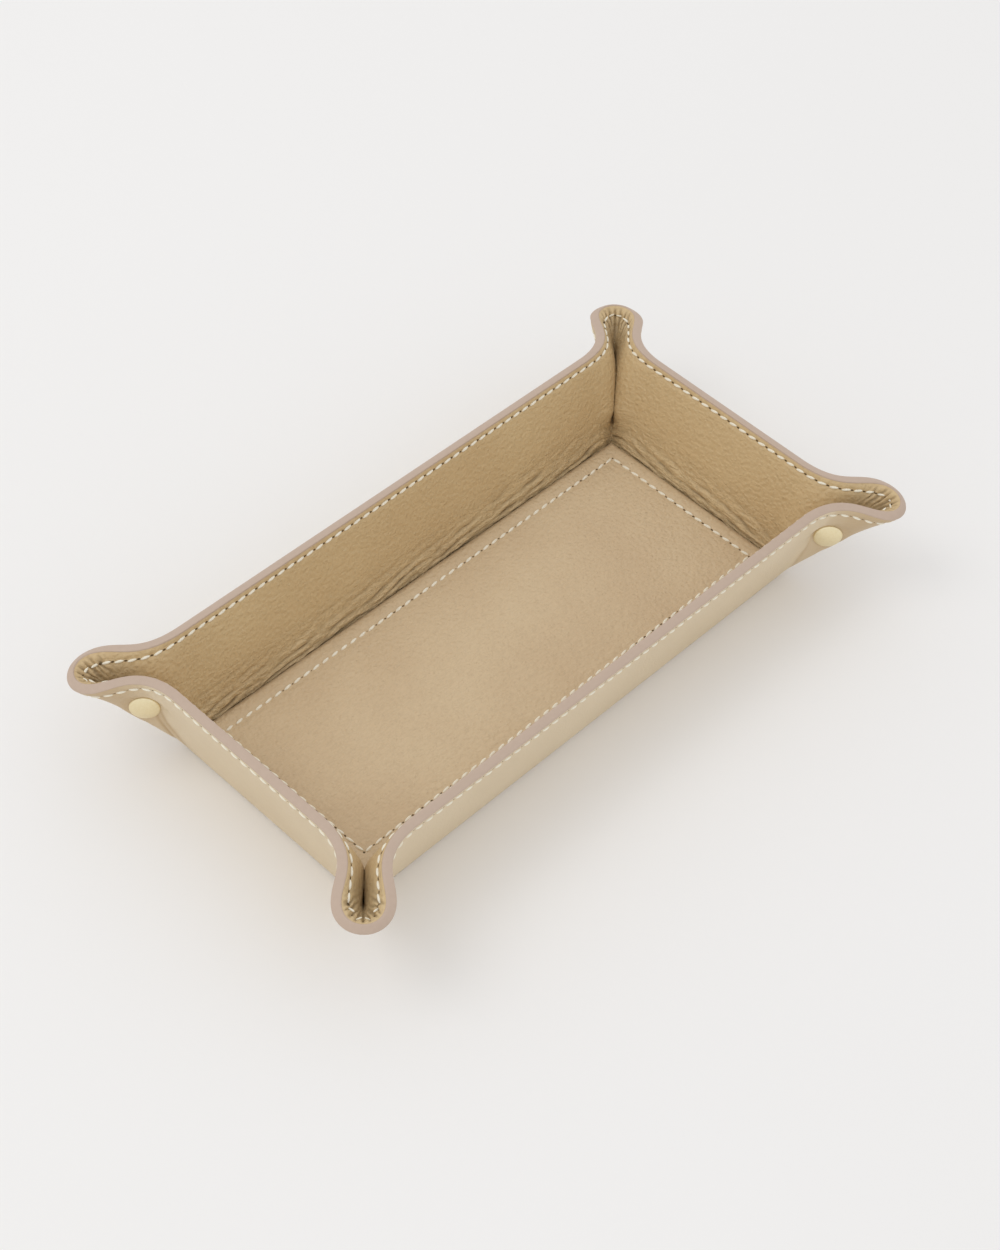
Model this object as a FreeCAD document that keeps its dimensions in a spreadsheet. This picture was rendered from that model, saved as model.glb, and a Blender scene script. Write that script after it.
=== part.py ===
"""Snap-corner leather valet tray.

A stitched two-layer leather sheet is folded up along four fold lines around a stiffened base.
At each corner the spare leather is pinched into a hollow ear by a snap fastener, and when the
four snaps are opened the walls lie down around the base.

The walls turn about fold axes that run through the middle of the leather. Each ear is cut
along its keel into two halves, and each half turns about the crease at the end of its wall.
"""

import FreeCAD
import Part
import Sketcher

import math
import os

V = FreeCAD.Vector
Z_AXIS = V(0, 0, 1)
ROOT_HALF = math.sqrt(0.5)

doc = FreeCAD.newDocument("valet_tray")

# Driving dimensions, in millimetres and degrees

SIZES = (
    ("fold_length", 202.0, "between the fold axes of the two short walls"),
    ("fold_width", 82.0, "between the fold axes of the two long walls"),
    ("leather", 1.8, "thickness of the outer leather and of the lining"),
    ("wall_slant", 42.5, "fold axis to rim, up the wall"),
    ("wall_angle", 75.0, "wall above the table, snapped"),
    ("fold_gap", 0.3, "clearance round each fold bead"),
    ("base_board_thick", 3.2, "board inside the base"),
    ("wall_board_thick", 0.8, "board inside each wall"),
    ("board_margin", 2.5, "board edge to its seam or fold bead"),
    ("base_corner_radius", 3.6, "rounded corners of the base layers"),
    ("base_seam_inset", 8.7, "fold axis to base seam"),
    ("rim_seam_inset", 4.2, "rim to rim seam"),
    ("thread_width", 1.0, "width of a thread on the leather"),
    ("thread_height", 0.35, "height of a thread above the leather"),
    ("crease_foot", 4.0, "crease to base corner, along the fold axis"),
    ("crease_lean", 1.5, "crease past the base corner, at the rim"),
    ("ear_turn", 25.0, "ear half from its middle plane, where it leaves the wall"),
    ("keel_start", 1.5, "inner keel past the base corner, level with the lining"),
    ("ear_tip_reach", 32.6, "inner rim at the ear tip, out from the base corner"),
    ("ear_tip_height", 35.2, "inner rim at the ear tip, above the table"),
    ("ear_cut_gap", 0.3, "between the two halves of an ear at the keel"),
    ("keel_bevel", 25.0, "keel face behind the lining, from the ear's middle plane"),
    ("ear_pinch", 1.6, "half width of the ear mouth guide at the snap"),
    ("ear_mouth", 11.2, "half width of the ear mouth guide at the rim"),
    ("snap_reach", 12.0, "snap axis out from the base corner"),
    ("snap_height", 23.1, "snap axis above the table"),
    ("cap_diameter", 10.0, "brass cap"),
    ("cap_height", 1.5, "dome of the cap above its seat"),
    ("cap_sink", 0.25, "how far the cap is pressed into the leather"),
    ("post_diameter", 3.0, "rivet post of a cap"),
    ("socket_diameter", 8.0, "spring socket and stud flange"),
    ("socket_depth", 1.3, "how far the socket and stud are let into the lining"),
    ("stud_diameter", 3.8, "head of the stud"),
    ("fitting_bevel", 0.3, "bevel on the socket, the stud's flange and its head"),
    ("stud_room", 0.6, "clearance round the stud head in the socket"),
    ("stud_grip", 0.8, "how far the stud head reaches into the socket"),
    ("snap_part", 0.3, "socket face, and stud face, from the middle plane"),
    ("fitting_gap", 0.1, "clearance round a fitting, under an ear's thread and between its leathers"),
)

sheet = doc.addObject("Spreadsheet::Sheet", "Sizes")
for row, (alias, value, meaning) in enumerate(SIZES, start=1):
    sheet.set(f"A{row}", str(value))
    sheet.setAlias(f"A{row}", alias)
    sheet.set(f"B{row}", meaning)
doc.recompute()


def size(alias):
    """The number in the sheet's cell of that name."""
    return float(sheet.get(alias))


leather = size("leather")
slant = size("wall_slant")
wall_turn = math.radians(size("wall_angle"))
rim_height = leather + slant * math.sin(wall_turn)

sub_parts = []


def keep(obj, label):
    """Marks an object as a piece of the tray under its own name."""
    obj.Label = label
    sub_parts.append(obj)
    return obj


# Sketch helpers

def new_sketch(body, name, role="XY_Plane", lift=None):
    """A sketch on one of the body's own origin planes, raised by an expression."""
    sketch = body.newObject("Sketcher::SketchObject", name)
    planes = [feature for feature in body.Origin.OriginFeatures if feature.Role == role]
    sketch.AttachmentSupport = [(planes[0], "")]
    sketch.MapMode = "FlatFace"
    if lift:
        sketch.setExpression("AttachmentOffset.Base.z", lift)
    return sketch


def bind(sketch, constraint, expression):
    """Adds a constraint whose value is an expression of the sheet."""
    sketch.setExpression(f"Constraints[{sketch.addConstraint(constraint)}]", expression)


def draw_polygon(sketch, corners):
    """A closed outline whose corners are pairs of expressions from the sketch's origin."""
    count = len(corners)
    points = [V(sheet_value(across), sheet_value(up), 0) for across, up in corners]
    for i in range(count):
        sketch.addGeometry(Part.LineSegment(points[i], points[(i + 1) % count]))
    for i in range(count):
        sketch.addConstraint(Sketcher.Constraint("Coincident", i, 2, (i + 1) % count, 1))
    for i, (across, up) in enumerate(corners):
        bind(sketch, Sketcher.Constraint("DistanceX", -1, 1, i, 1, points[i].x), across)
        bind(sketch, Sketcher.Constraint("DistanceY", -1, 1, i, 1, points[i].y), up)


def sheet_value(expression):
    """The value of an expression of the sheet, for a sketch's first draft."""
    return float(sheet.evalExpression(expression))


def rectangle(length, width):
    """Corners of a rectangle centred on the sketch's origin, from two expressions."""
    half = f"({length}) / 2"
    side = f"({width}) / 2"
    return [(f"-{half}", f"-{side}"), (half, f"-{side}"), (half, side), (f"-{half}", side)]


def pad(body, sketch, name, length, reverse=False):
    """Extrudes a sketch by an expression."""
    feature = body.newObject("PartDesign::Pad", name)
    feature.Profile = sketch
    feature.Reversed = reverse
    feature.setExpression("Length", length)
    body.Tip = feature
    return feature


def pocket(body, sketch, name, depth, reverse=False):
    """Cuts a sketch into the body by an expression."""
    feature = body.newObject("PartDesign::Pocket", name)
    feature.Profile = sketch
    feature.Reversed = reverse
    feature.setExpression("Length", depth)
    body.Tip = feature
    return feature


def edge_names(shape, wanted):
    """Names of the edges for which the test is true."""
    return [f"Edge{i}" for i, edge in enumerate(shape.Edges, start=1) if wanted(edge)]


# Base: outer leather, board and lining, with the seam that closes the board in

BASE_LENGTH = "Sizes.fold_length - 2 * (Sizes.leather + Sizes.fold_gap)"
BASE_WIDTH = "Sizes.fold_width - 2 * (Sizes.leather + Sizes.fold_gap)"
SEAM_LENGTH = "Sizes.fold_length - 2 * Sizes.base_seam_inset"
SEAM_WIDTH = "Sizes.fold_width - 2 * Sizes.base_seam_inset"
BOARD_LENGTH = f"{SEAM_LENGTH} - 2 * Sizes.board_margin"
BOARD_WIDTH = f"{SEAM_WIDTH} - 2 * Sizes.board_margin"
LINING_THICK = "Sizes.leather + Sizes.base_board_thick"
THREAD_GROOVE = "Sizes.thread_height + Sizes.fitting_gap"


def round_upright_edges(body, pad_feature):
    """Rounds the four upright corners of a base layer."""
    doc.recompute()
    fillet = body.newObject("PartDesign::Fillet", f"{body.Name}_corners")
    upright = edge_names(pad_feature.Shape, lambda edge: abs(edge.tangentAt(edge.FirstParameter).z) > 0.99)
    fillet.Base = (pad_feature, upright)
    fillet.setExpression("Radius", "Sizes.base_corner_radius")
    body.Tip = fillet
    doc.recompute()
    return fillet


def base_outer():
    """Bottom leather, with a shallow groove that takes the lower thread of the base seam."""
    body = doc.addObject("PartDesign::Body", "base_outer")
    outline = new_sketch(body, "base_outer_outline")
    draw_polygon(outline, rectangle(BASE_LENGTH, BASE_WIDTH))
    plate = pad(body, outline, "base_outer_plate", "Sizes.leather")
    round_upright_edges(body, plate)
    groove = new_sketch(body, "base_outer_groove_path")
    draw_ring(groove, "Sizes.thread_width + 2 * Sizes.fitting_gap")
    pocket(body, groove, "base_outer_groove", THREAD_GROOVE, reverse=True)
    return keep(body, "base_outer")


def draw_ring(sketch, width):
    """Two rectangles on either side of the base seam's line."""
    draw_polygon(sketch, rectangle(f"{SEAM_LENGTH} + {width}", f"{SEAM_WIDTH} + {width}"))
    first = sketch.GeometryCount
    inner = rectangle(f"{SEAM_LENGTH} - ({width})", f"{SEAM_WIDTH} - ({width})")
    points = [V(sheet_value(across), sheet_value(up), 0) for across, up in inner]
    for i in range(4):
        sketch.addGeometry(Part.LineSegment(points[i], points[(i + 1) % 4]))
    for i in range(4):
        follow = first + (i + 1) % 4
        sketch.addConstraint(Sketcher.Constraint("Coincident", first + i, 2, follow, 1))
    for i, (across, up) in enumerate(inner):
        bind(sketch, Sketcher.Constraint("DistanceX", -1, 1, first + i, 1, points[i].x), across)
        bind(sketch, Sketcher.Constraint("DistanceY", -1, 1, first + i, 1, points[i].y), up)


def base_board():
    """Stiff board between the two base leathers, inside the seam."""
    body = doc.addObject("PartDesign::Body", "base_board")
    outline = new_sketch(body, "base_board_outline", lift="Sizes.leather")
    draw_polygon(outline, rectangle(BOARD_LENGTH, BOARD_WIDTH))
    pad(body, outline, "base_board_plate", "Sizes.base_board_thick")
    return keep(body, "base_board")


def base_lining():
    """Lining over the board, which slopes down to one leather's thickness at the folds."""
    body = doc.addObject("PartDesign::Body", "base_lining")
    outline = new_sketch(body, "base_lining_outline", lift="Sizes.leather")
    draw_polygon(outline, rectangle(BASE_LENGTH, BASE_WIDTH))
    plate = pad(body, outline, "base_lining_plate", LINING_THICK)
    rounded = round_upright_edges(body, plate)
    top = leather + sheet_value(LINING_THICK)
    slope = body.newObject("PartDesign::Chamfer", "base_lining_slope")
    on_top = edge_names(rounded.Shape, lambda edge: abs(edge.CenterOfMass.z - top) < 0.001)
    slope.Base = (rounded, on_top)
    slope.ChamferType = "Two distances"
    slope.FlipDirection = False
    slope.setExpression("Size", "Sizes.base_board_thick")
    slope.setExpression("Size2", "Sizes.base_board_thick")
    body.Tip = slope
    doc.recompute()
    hollow = new_sketch(body, "base_lining_hollow_outline", lift="Sizes.leather")
    draw_polygon(hollow, rectangle(BOARD_LENGTH, BOARD_WIDTH))
    pocket(body, hollow, "base_lining_hollow", "Sizes.base_board_thick", reverse=True)
    return keep(body, "base_lining")


def thread_ring(name, lift):
    """One thread of the base seam, lying flat at the given height."""
    body = doc.addObject("PartDesign::Body", name)
    path = new_sketch(body, f"{name}_path", lift=lift)
    draw_ring(path, "Sizes.thread_width")
    pad(body, path, f"{name}_thread", "Sizes.thread_height")
    return body


def base_seam():
    """Upper and lower thread of the base seam."""
    upper = thread_ring("base_seam_upper", f"Sizes.leather + {LINING_THICK}")
    lower = thread_ring("base_seam_lower", "Sizes.fitting_gap")
    seam = doc.addObject("Part::Compound", "base_seam")
    seam.Links = [upper, lower]
    return keep(seam, "base_seam")


# Walls: drawn flat, with the fold axis along the sketch's X and the rim up its Y

CREASE_RISE = "(Sizes.crease_foot + Sizes.crease_lean) / Sizes.wall_slant"
CREASE_SECANT = f"sqrt(1 + ({CREASE_RISE}) * ({CREASE_RISE}))"
# A bead as round as the leather is thick would leave no edge to round
BEAD_SHARE = 0.97


def wall_placement(fold_distance, turn):
    """Stands a flat-drawn wall up on its fold axis, on the side of the base given by turn."""
    stand = FreeCAD.Placement(
        V(0, fold_distance / 2, leather), FreeCAD.Rotation(V(1, 0, 0), size("wall_angle")))
    return FreeCAD.Placement(V(0, 0, 0), FreeCAD.Rotation(Z_AXIS, turn)).multiply(stand)


def wall_outline(length, foot, top, grow):
    """A wall's outline between two heights, grown past the creases by an expression."""
    def half_at(height):
        lean = f"({CREASE_RISE}) * ({height})"
        return f"(({length}) / 2 - Sizes.crease_foot + {lean} + ({grow}) * {CREASE_SECANT})"
    low = half_at(foot)
    high = half_at(top)
    return [(f"-{low}", foot), (low, foot), (high, top), (f"-{high}", top)]


def wall_layer(name, length, placement, inside):
    """Outer leather or lining of a wall, with rounded beads on the fold and the two creases."""
    body = doc.addObject("PartDesign::Body", name)
    outline = new_sketch(body, f"{name}_outline")
    draw_polygon(outline, wall_outline(length, "-Sizes.leather", "Sizes.wall_slant", "Sizes.leather"))
    plate = pad(body, outline, f"{name}_plate", "Sizes.leather", reverse=not inside)
    doc.recompute()
    face_height = leather if inside else -leather
    rim = slant

    def on_bead(edge):
        centre = edge.CenterOfMass
        return abs(centre.z - face_height) < 0.001 and centre.y < rim - 0.001

    bead = body.newObject("PartDesign::Fillet", f"{name}_bead")
    bead.Base = (plate, edge_names(plate.Shape, on_bead))
    bead.setExpression("Radius", f"Sizes.leather * {BEAD_SHARE}")
    body.Tip = bead
    doc.recompute()
    if inside:
        hollow = new_sketch(body, f"{name}_hollow_outline")
        draw_polygon(hollow, board_outline(length))
        pocket(body, hollow, f"{name}_hollow", "Sizes.wall_board_thick", reverse=True)
    body.Placement = placement
    return keep(body, name)


def board_outline(length):
    """Outline of a wall's board, clear of the fold bead, the creases and the rim seam."""
    foot = "Sizes.leather + Sizes.board_margin"
    top = "Sizes.wall_slant - Sizes.rim_seam_inset - Sizes.board_margin"
    return wall_outline(length, foot, top, "-Sizes.leather - Sizes.board_margin")


def wall_board(name, length, placement):
    """Thin board let into the back of a wall's lining."""
    body = doc.addObject("PartDesign::Body", name)
    outline = new_sketch(body, f"{name}_outline")
    draw_polygon(outline, board_outline(length))
    pad(body, outline, f"{name}_plate", "Sizes.wall_board_thick")
    body.Placement = placement
    return keep(body, name)


def wall_seam(name, length, placement):
    """Inner and outer thread of the rim seam along one wall."""
    half_thread = "Sizes.thread_width / 2"
    line = "Sizes.wall_slant - Sizes.rim_seam_inset"
    threads = []
    for side, lift in (("inner", "Sizes.leather"), ("outer", "-Sizes.leather")):
        body = doc.addObject("PartDesign::Body", f"{name}_{side}")
        path = new_sketch(body, f"{name}_{side}_path", lift=lift)
        foot = f"{line} - {half_thread}"
        top = f"{line} + {half_thread}"
        draw_polygon(path, wall_outline(length, foot, top, "-Sizes.leather"))
        pad(body, path, f"{name}_{side}_thread", "Sizes.thread_height", reverse=side == "outer")
        threads.append(body)
    seam = doc.addObject("Part::Compound", name)
    seam.Links = threads
    seam.Placement = placement
    return keep(seam, name)


WALLS = (
    ("back", "Sizes.fold_length", "fold_width", 0),
    ("left", "Sizes.fold_width", "fold_length", 90),
    ("front", "Sizes.fold_length", "fold_width", 180),
    ("right", "Sizes.fold_width", "fold_length", 270),
)


def make_walls():
    """The four walls, each with its outer leather, board, lining and rim seam."""
    for side, length, fold_distance, turn in WALLS:
        placement = wall_placement(size(fold_distance), turn)
        wall_layer(f"{side}_outer", length, placement, inside=False)
        wall_board(f"{side}_board", length, placement)
        wall_layer(f"{side}_lining", length, placement, inside=True)
        wall_seam(f"{side}_seam", length, placement)


# Ears: one half-ear is lofted through level sections, and the others are its mirror images

CORNER = V(size("fold_length") / 2, size("fold_width") / 2, 0)
SHOULDER_SHARE = 0.4
SAMPLES = 11
SAMPLE_CROWDING = 1.6
LEVEL_COUNT = 7
SLOPE_STEP = 0.5
HUGE = 200.0
SNAP_AXIS = V(-ROOT_HALF, ROOT_HALF, 0)

lining_level = 2 * leather
keel_slope = (size("ear_tip_reach") - size("keel_start")) / (size("ear_tip_height") - lining_level)
wall_spread = leather / math.sin(wall_turn)
bead_room = leather + size("fold_gap")
ear_turn = math.radians(size("ear_turn"))
ear_foot = lining_level + 2 * size("fold_gap")


def crease_point(height):
    """Crease on the middle of the wall: out along the ear and aside from its middle plane."""
    climb = (height - leather) / math.sin(wall_turn)
    past_corner = -size("crease_foot") + (size("crease_foot") + size("crease_lean")) * climb / slant
    lean_out = climb * math.cos(wall_turn)
    return past_corner, lean_out


def keel_reach(height):
    """Inner keel at a height above the table, out from the base corner."""
    return size("keel_start") + (height - lining_level) * keel_slope


def mouth_guide(height):
    """Half width of the guide that opens the ear from the snap up to the rim."""
    opening = (height - size("snap_height")) / (size("ear_tip_height") - size("snap_height"))
    return size("ear_pinch") + (size("ear_mouth") - size("ear_pinch")) * max(opening, 0) ** 1.5


def section_guides(height):
    """Four control points of the lining's inner face at one height.

    The first pair leaves the crease towards the ear's middle plane, and the last pair meets
    that plane square, so that the two halves close into one smooth loop.
    """
    past_corner, lean_out = crease_point(height)
    out = lean_out - wall_spread
    start = V((out + past_corner) * ROOT_HALF, (out - past_corner) * ROOT_HALF, 0)
    end = V(keel_reach(height), size("ear_cut_gap") / 2, 0)
    reach = (end - start).Length * SHOULDER_SHARE
    shoulder = start + V(math.cos(ear_turn), -math.sin(ear_turn), 0) * reach
    mouth = V(end.x, mouth_guide(height), 0)
    return start, shoulder, mouth, end


def inner_point(height, share):
    """A point of the lining's inner face: a cubic curve through the section's guides."""
    start, shoulder, mouth, end = section_guides(height)
    rest = 1 - share
    return (start * rest ** 3 + shoulder * (3 * rest ** 2 * share)
            + mouth * (3 * rest * share ** 2) + end * share ** 3)


def inner_normal(height, share):
    """Outward normal of a section in its own level plane."""
    start, shoulder, mouth, end = section_guides(height)
    rest = 1 - share
    along = ((shoulder - start) * rest ** 2 + (mouth - shoulder) * (2 * rest * share)
             + (end - mouth) * share ** 2)
    along.normalize()
    return V(-along.y, along.x, 0)


def layer_point(height, share, depth):
    """A point at a true depth behind the inner face, moved level in its own section."""
    normal = inner_normal(height, share)
    rise = inner_point(height + SLOPE_STEP, share) - inner_point(height - SLOPE_STEP, share)
    slope = rise.dot(normal) / (2 * SLOPE_STEP)
    return inner_point(height, share) + normal * (depth * math.sqrt(1 + slope * slope))


def ear_to_tray(point, height):
    """Turns out-and-aside coordinates of the back right ear into the tray's own frame."""
    return V(CORNER.x + (point.x - point.y) * ROOT_HALF,
             CORNER.y + (point.x + point.y) * ROOT_HALF, height)


def layer_curve(height, depth):
    """Smooth level curve of one face of a layer."""
    shares = [1 - (1 - i / (SAMPLES - 1)) ** SAMPLE_CROWDING for i in range(SAMPLES)]
    curve = Part.BSplineCurve()
    curve.interpolate([ear_to_tray(layer_point(height, share, depth), height) for share in shares])
    return curve


def layer_section(height, near, far):
    """Closed level outline of a layer between two depths."""
    face = layer_curve(height, near)
    back = layer_curve(height, far)
    edges = [face.toShape(),
             Part.makeLine(face.EndPoint, back.EndPoint),
             back.toShape(),
             Part.makeLine(back.StartPoint, face.StartPoint)]
    return Part.Wire(Part.__sortEdges__(edges))


rim_out = V(ROOT_HALF, ROOT_HALF, 0)
crease_at_rim = crease_point(rim_height)
rim_crease_reach = (sum(crease_at_rim) - wall_spread) * ROOT_HALF
rim_crease_height = rim_height + leather * math.cos(wall_turn)
rim_fall = (rim_crease_height - size("ear_tip_height")) / (size("ear_tip_reach") - rim_crease_reach)


def rim_slab(top, bottom):
    """Block between two depths below the sloping plane that the ear's rim is cut to."""
    normal = (rim_out * rim_fall + Z_AXIS).normalize()
    tip = CORNER + rim_out * size("ear_tip_reach") + V(0, 0, size("ear_tip_height"))
    turn = FreeCAD.Rotation(Z_AXIS, normal)
    block = Part.makeBox(HUGE, HUGE, bottom - top, V(-HUGE / 2, -HUGE / 2, 0))
    block.Placement = FreeCAD.Placement(tip - normal * bottom, turn)
    return block


def keel_bevel():
    """Block past the keel face, which slants away from the ear's middle plane behind the lining.

    The two halves close up there when the walls lie down and the ear flattens.
    """
    behind = (rim_out - Z_AXIS * keel_slope).normalize()
    past_face = (behind * math.tan(math.radians(size("keel_bevel"))) - SNAP_AXIS).normalize()
    start = ear_to_tray(V(size("keel_start"), size("ear_cut_gap") / 2, 0), lining_level)
    block = Part.makeBox(HUGE, HUGE, HUGE, V(-HUGE / 2, -HUGE / 2, 0))
    block.Placement = FreeCAD.Placement(start, FreeCAD.Rotation(Z_AXIS, past_face))
    return block


crease_foot = CORNER + V(-size("crease_foot"), 0, leather)
crease_rim = CORNER + V(size("crease_lean"), slant * math.cos(wall_turn), rim_height)
crease_axis = (crease_rim - crease_foot).normalize()
wall_outward = V(0, math.sin(wall_turn), -math.cos(wall_turn))


def wall_side():
    """Block on the wall's side of the crease, square to the wall."""
    block = Part.makeBox(HUGE, HUGE, HUGE, V(0, -HUGE / 2, -HUGE / 2))
    across = crease_axis.cross(wall_outward)
    turn = FreeCAD.Rotation(across, crease_axis, wall_outward, "ZXY")
    block.Placement = FreeCAD.Placement(crease_foot, turn)
    return block


def crease_room(radius):
    """Cylinder along the crease that keeps the ear clear of the bead at the wall's end."""
    start = crease_foot - crease_axis * slant
    return Part.makeCylinder(radius, 3 * slant, start, crease_axis)


def half_ear(near, far, top, bottom, room):
    """Layer of the back right half-ear between two depths, cut to a band below the rim."""
    crown = rim_height + 2 * leather
    heights = [ear_foot + (crown - ear_foot) * i / (LEVEL_COUNT - 1) for i in range(LEVEL_COUNT)]
    solid = Part.makeLoft([layer_section(height, near, far) for height in heights], True, False)
    band = solid.common(rim_slab(top, bottom))
    return band.cut(keel_bevel()).cut(wall_side()).cut(crease_room(room))


# Snaps: each stands on an axis across its ear, from the short wall's side to the long wall's

def share_at_snap():
    """Where the snap axis meets the lining's inner face, as a share of the section."""
    low = 0.0
    high = 1.0
    for _ in range(40):
        middle = (low + high) / 2
        if inner_point(size("snap_height"), middle).x < size("snap_reach"):
            low = middle
        else:
            high = middle
    return low


SNAP_SHARE = share_at_snap()
snap_inside = layer_point(size("snap_height"), SNAP_SHARE, 0).y
snap_outside = layer_point(size("snap_height"), SNAP_SHARE, 2 * leather).y
SNAP_POINT = ear_to_tray(V(size("snap_reach"), 0, 0), size("snap_height"))
fitting_stand = snap_inside - size("snap_part")
cap_seat = snap_outside - size("cap_sink")
fitting_floor = snap_inside + size("socket_depth")


def snap_cylinder(diameter, low, high):
    """Cylinder on the snap axis of the back right ear, between two distances from its middle."""
    return Part.makeCylinder(diameter / 2, high - low, SNAP_POINT + SNAP_AXIS * low, SNAP_AXIS)


def punched(layer, seat):
    """Layer with the snap's post hole, and the seat that its cap or fitting is pressed into."""
    clear = 2 * size("fitting_gap")
    post_hole = snap_cylinder(size("post_diameter") + clear, -leather, 4 * leather)
    return layer.cut(post_hole).cut(seat)


def ear_pieces():
    """Outer leather, lining and rim seam of the back right half-ear on the long wall."""
    clear = 2 * size("fitting_gap")
    below_all = 2 * rim_height
    cap_spot = snap_cylinder(size("cap_diameter") + clear, cap_seat, cap_seat + 2 * leather)
    fitting_hole = snap_cylinder(size("socket_diameter") + clear, -leather, fitting_floor)
    thread_top = size("rim_seam_inset") - size("thread_width") / 2
    thread_bottom = size("rim_seam_inset") + size("thread_width") / 2
    thread = size("thread_height")
    thread_room = 2 * leather
    lift = size("fitting_gap")
    threads = [half_ear(near, near + thread, thread_top, thread_bottom, thread_room)
               for near in (-lift - thread, 2 * leather + lift)]
    return {
        "outer": punched(half_ear(leather + lift, 2 * leather, 0, below_all, bead_room), cap_spot),
        "lining": punched(half_ear(0, leather, 0, below_all, bead_room), fitting_hole),
        "seam": Part.makeCompound(threads),
    }


def mirror(source, name, base, normal):
    """A named mirror image of another piece."""
    image = doc.addObject("Part::Mirroring", name)
    image.Source = source
    image.Base = base
    image.Normal = normal
    return keep(image, name)


def make_ears():
    """Two half-ears at each corner, named for the wall that carries them and then its end."""
    for layer, shape in ear_pieces().items():
        long_side = doc.addObject("Part::Feature", f"ear_back_right_{layer}")
        long_side.Shape = shape
        keep(long_side, f"ear_back_right_{layer}")
        short_side = mirror(long_side, f"ear_right_back_{layer}", CORNER, SNAP_AXIS)
        long_left = mirror(long_side, f"ear_back_left_{layer}", V(0, 0, 0), V(1, 0, 0))
        short_left = mirror(short_side, f"ear_left_back_{layer}", V(0, 0, 0), V(1, 0, 0))
        mirror(long_side, f"ear_front_right_{layer}", V(0, 0, 0), V(0, 1, 0))
        mirror(short_side, f"ear_right_front_{layer}", V(0, 0, 0), V(0, 1, 0))
        mirror(long_left, f"ear_front_left_{layer}", V(0, 0, 0), V(0, 1, 0))
        mirror(short_left, f"ear_left_front_{layer}", V(0, 0, 0), V(0, 1, 0))


def turned_piece(name, profile, placement):
    """A fitting turned about its axis from a half profile of radius and height expressions."""
    body = doc.addObject("PartDesign::Body", name)
    sketch = new_sketch(body, f"{name}_profile", role="XZ_Plane")
    draw_polygon(sketch, profile)
    turning = body.newObject("PartDesign::Revolution", f"{name}_turning")
    turning.Profile = sketch
    turning.ReferenceAxis = (sketch, ["V_Axis"])
    turning.Angle = 360
    body.Tip = turning
    body.Placement = placement
    return keep(body, name)


CAP_RADIUS = "Sizes.cap_diameter / 2"
POST_RADIUS = "Sizes.post_diameter / 2"
POST_LENGTH = f"({cap_seat - fitting_floor})"
FITTING_RADIUS = "Sizes.socket_diameter / 2"
STUD_RADIUS = "Sizes.stud_diameter / 2"
FLANGE_FACE = f"{FITTING_RADIUS} - Sizes.fitting_bevel"


# The cap's dome from rim to crown, as shares of its radius and its height
CAP_DOME = ((1, 0), (1, 0.4), (0.9, 0.75), (0.6, 0.94), (0, 1))


def cap_profile():
    """Domed cap on its rivet post, from the fitting's back at 0 up to the crown."""
    post = [("0", "0"), (POST_RADIUS, "0"), (POST_RADIUS, POST_LENGTH)]
    dome = [(f"{CAP_RADIUS} * {across}", f"{POST_LENGTH} + Sizes.cap_height * {up}")
            for across, up in CAP_DOME]
    return post + dome


def socket_profile():
    """Spring socket: a closed back and a mouth that takes the stud head, facing down."""
    mouth = f"{STUD_RADIUS} + Sizes.stud_room"
    face = f"-Sizes.socket_depth - {fitting_stand:.3f}"
    roof = f"{face} + Sizes.stud_grip + Sizes.stud_room"
    return [("0", roof), (mouth, roof), (mouth, face), (FLANGE_FACE, face),
            (FITTING_RADIUS, f"{face} + Sizes.fitting_bevel"), (FITTING_RADIUS, "0"), ("0", "0")]


def stud_profile():
    """Stud: a flange let into the lining, a waist and a rounded head, facing down."""
    face = f"-Sizes.socket_depth - {fitting_stand:.3f}"
    head = f"{face} - 2 * Sizes.snap_part - Sizes.stud_grip"
    waist = f"{STUD_RADIUS} - Sizes.fitting_bevel"
    return [("0", "0"), (FITTING_RADIUS, "0"), (FITTING_RADIUS, f"{face} + Sizes.fitting_bevel"),
            (FLANGE_FACE, face), (waist, face), (waist, f"{head} + 2 * Sizes.fitting_bevel"),
            (STUD_RADIUS, f"{head} + Sizes.fitting_bevel"), (waist, head), ("0", head)]


def make_snaps():
    """A cap with its socket on the long wall's side and a cap with its stud on the short wall's."""
    for end_name, end in (("left", -1), ("right", 1)):
        for side_name, side in (("front", -1), ("back", 1)):
            across = V(-ROOT_HALF * end, ROOT_HALF * side, 0)
            middle = V(SNAP_POINT.x * end, SNAP_POINT.y * side, SNAP_POINT.z)
            floor = fitting_floor
            long_side = FreeCAD.Placement(middle + across * floor, FreeCAD.Rotation(Z_AXIS, across))
            short_side = FreeCAD.Placement(middle - across * floor, FreeCAD.Rotation(Z_AXIS, -across))
            corner = f"{side_name}_{end_name}"
            turned_piece(f"snap_cap_{corner}", cap_profile(), long_side)
            turned_piece(f"snap_socket_{corner}", socket_profile(), long_side)
            turned_piece(f"snap_post_{corner}", cap_profile(), short_side)
            turned_piece(f"snap_stud_{corner}", stud_profile(), short_side)


base_outer()
base_board()
base_lining()
base_seam()
make_walls()
make_ears()
make_snaps()
doc.recompute()

# Every object has to have worked, and every piece has to be sound, before a file is written

for obj in doc.Objects:
    if "Invalid" in obj.State or "Error" in obj.State:
        raise RuntimeError(f"{obj.Name} failed: {obj.State}")
for obj in sub_parts:
    if obj.Shape.isNull() or not obj.Shape.isValid() or not obj.Shape.Solids:
        raise RuntimeError(f"{obj.Label} has no sound solid")

os.makedirs("parts", exist_ok=True)
for obj in sub_parts:
    obj.Shape.exportStep(os.path.join("parts", f"{obj.Label}.step"))
    print(obj.Label, len(obj.Shape.Solids), round(obj.Shape.Volume, 1))
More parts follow.
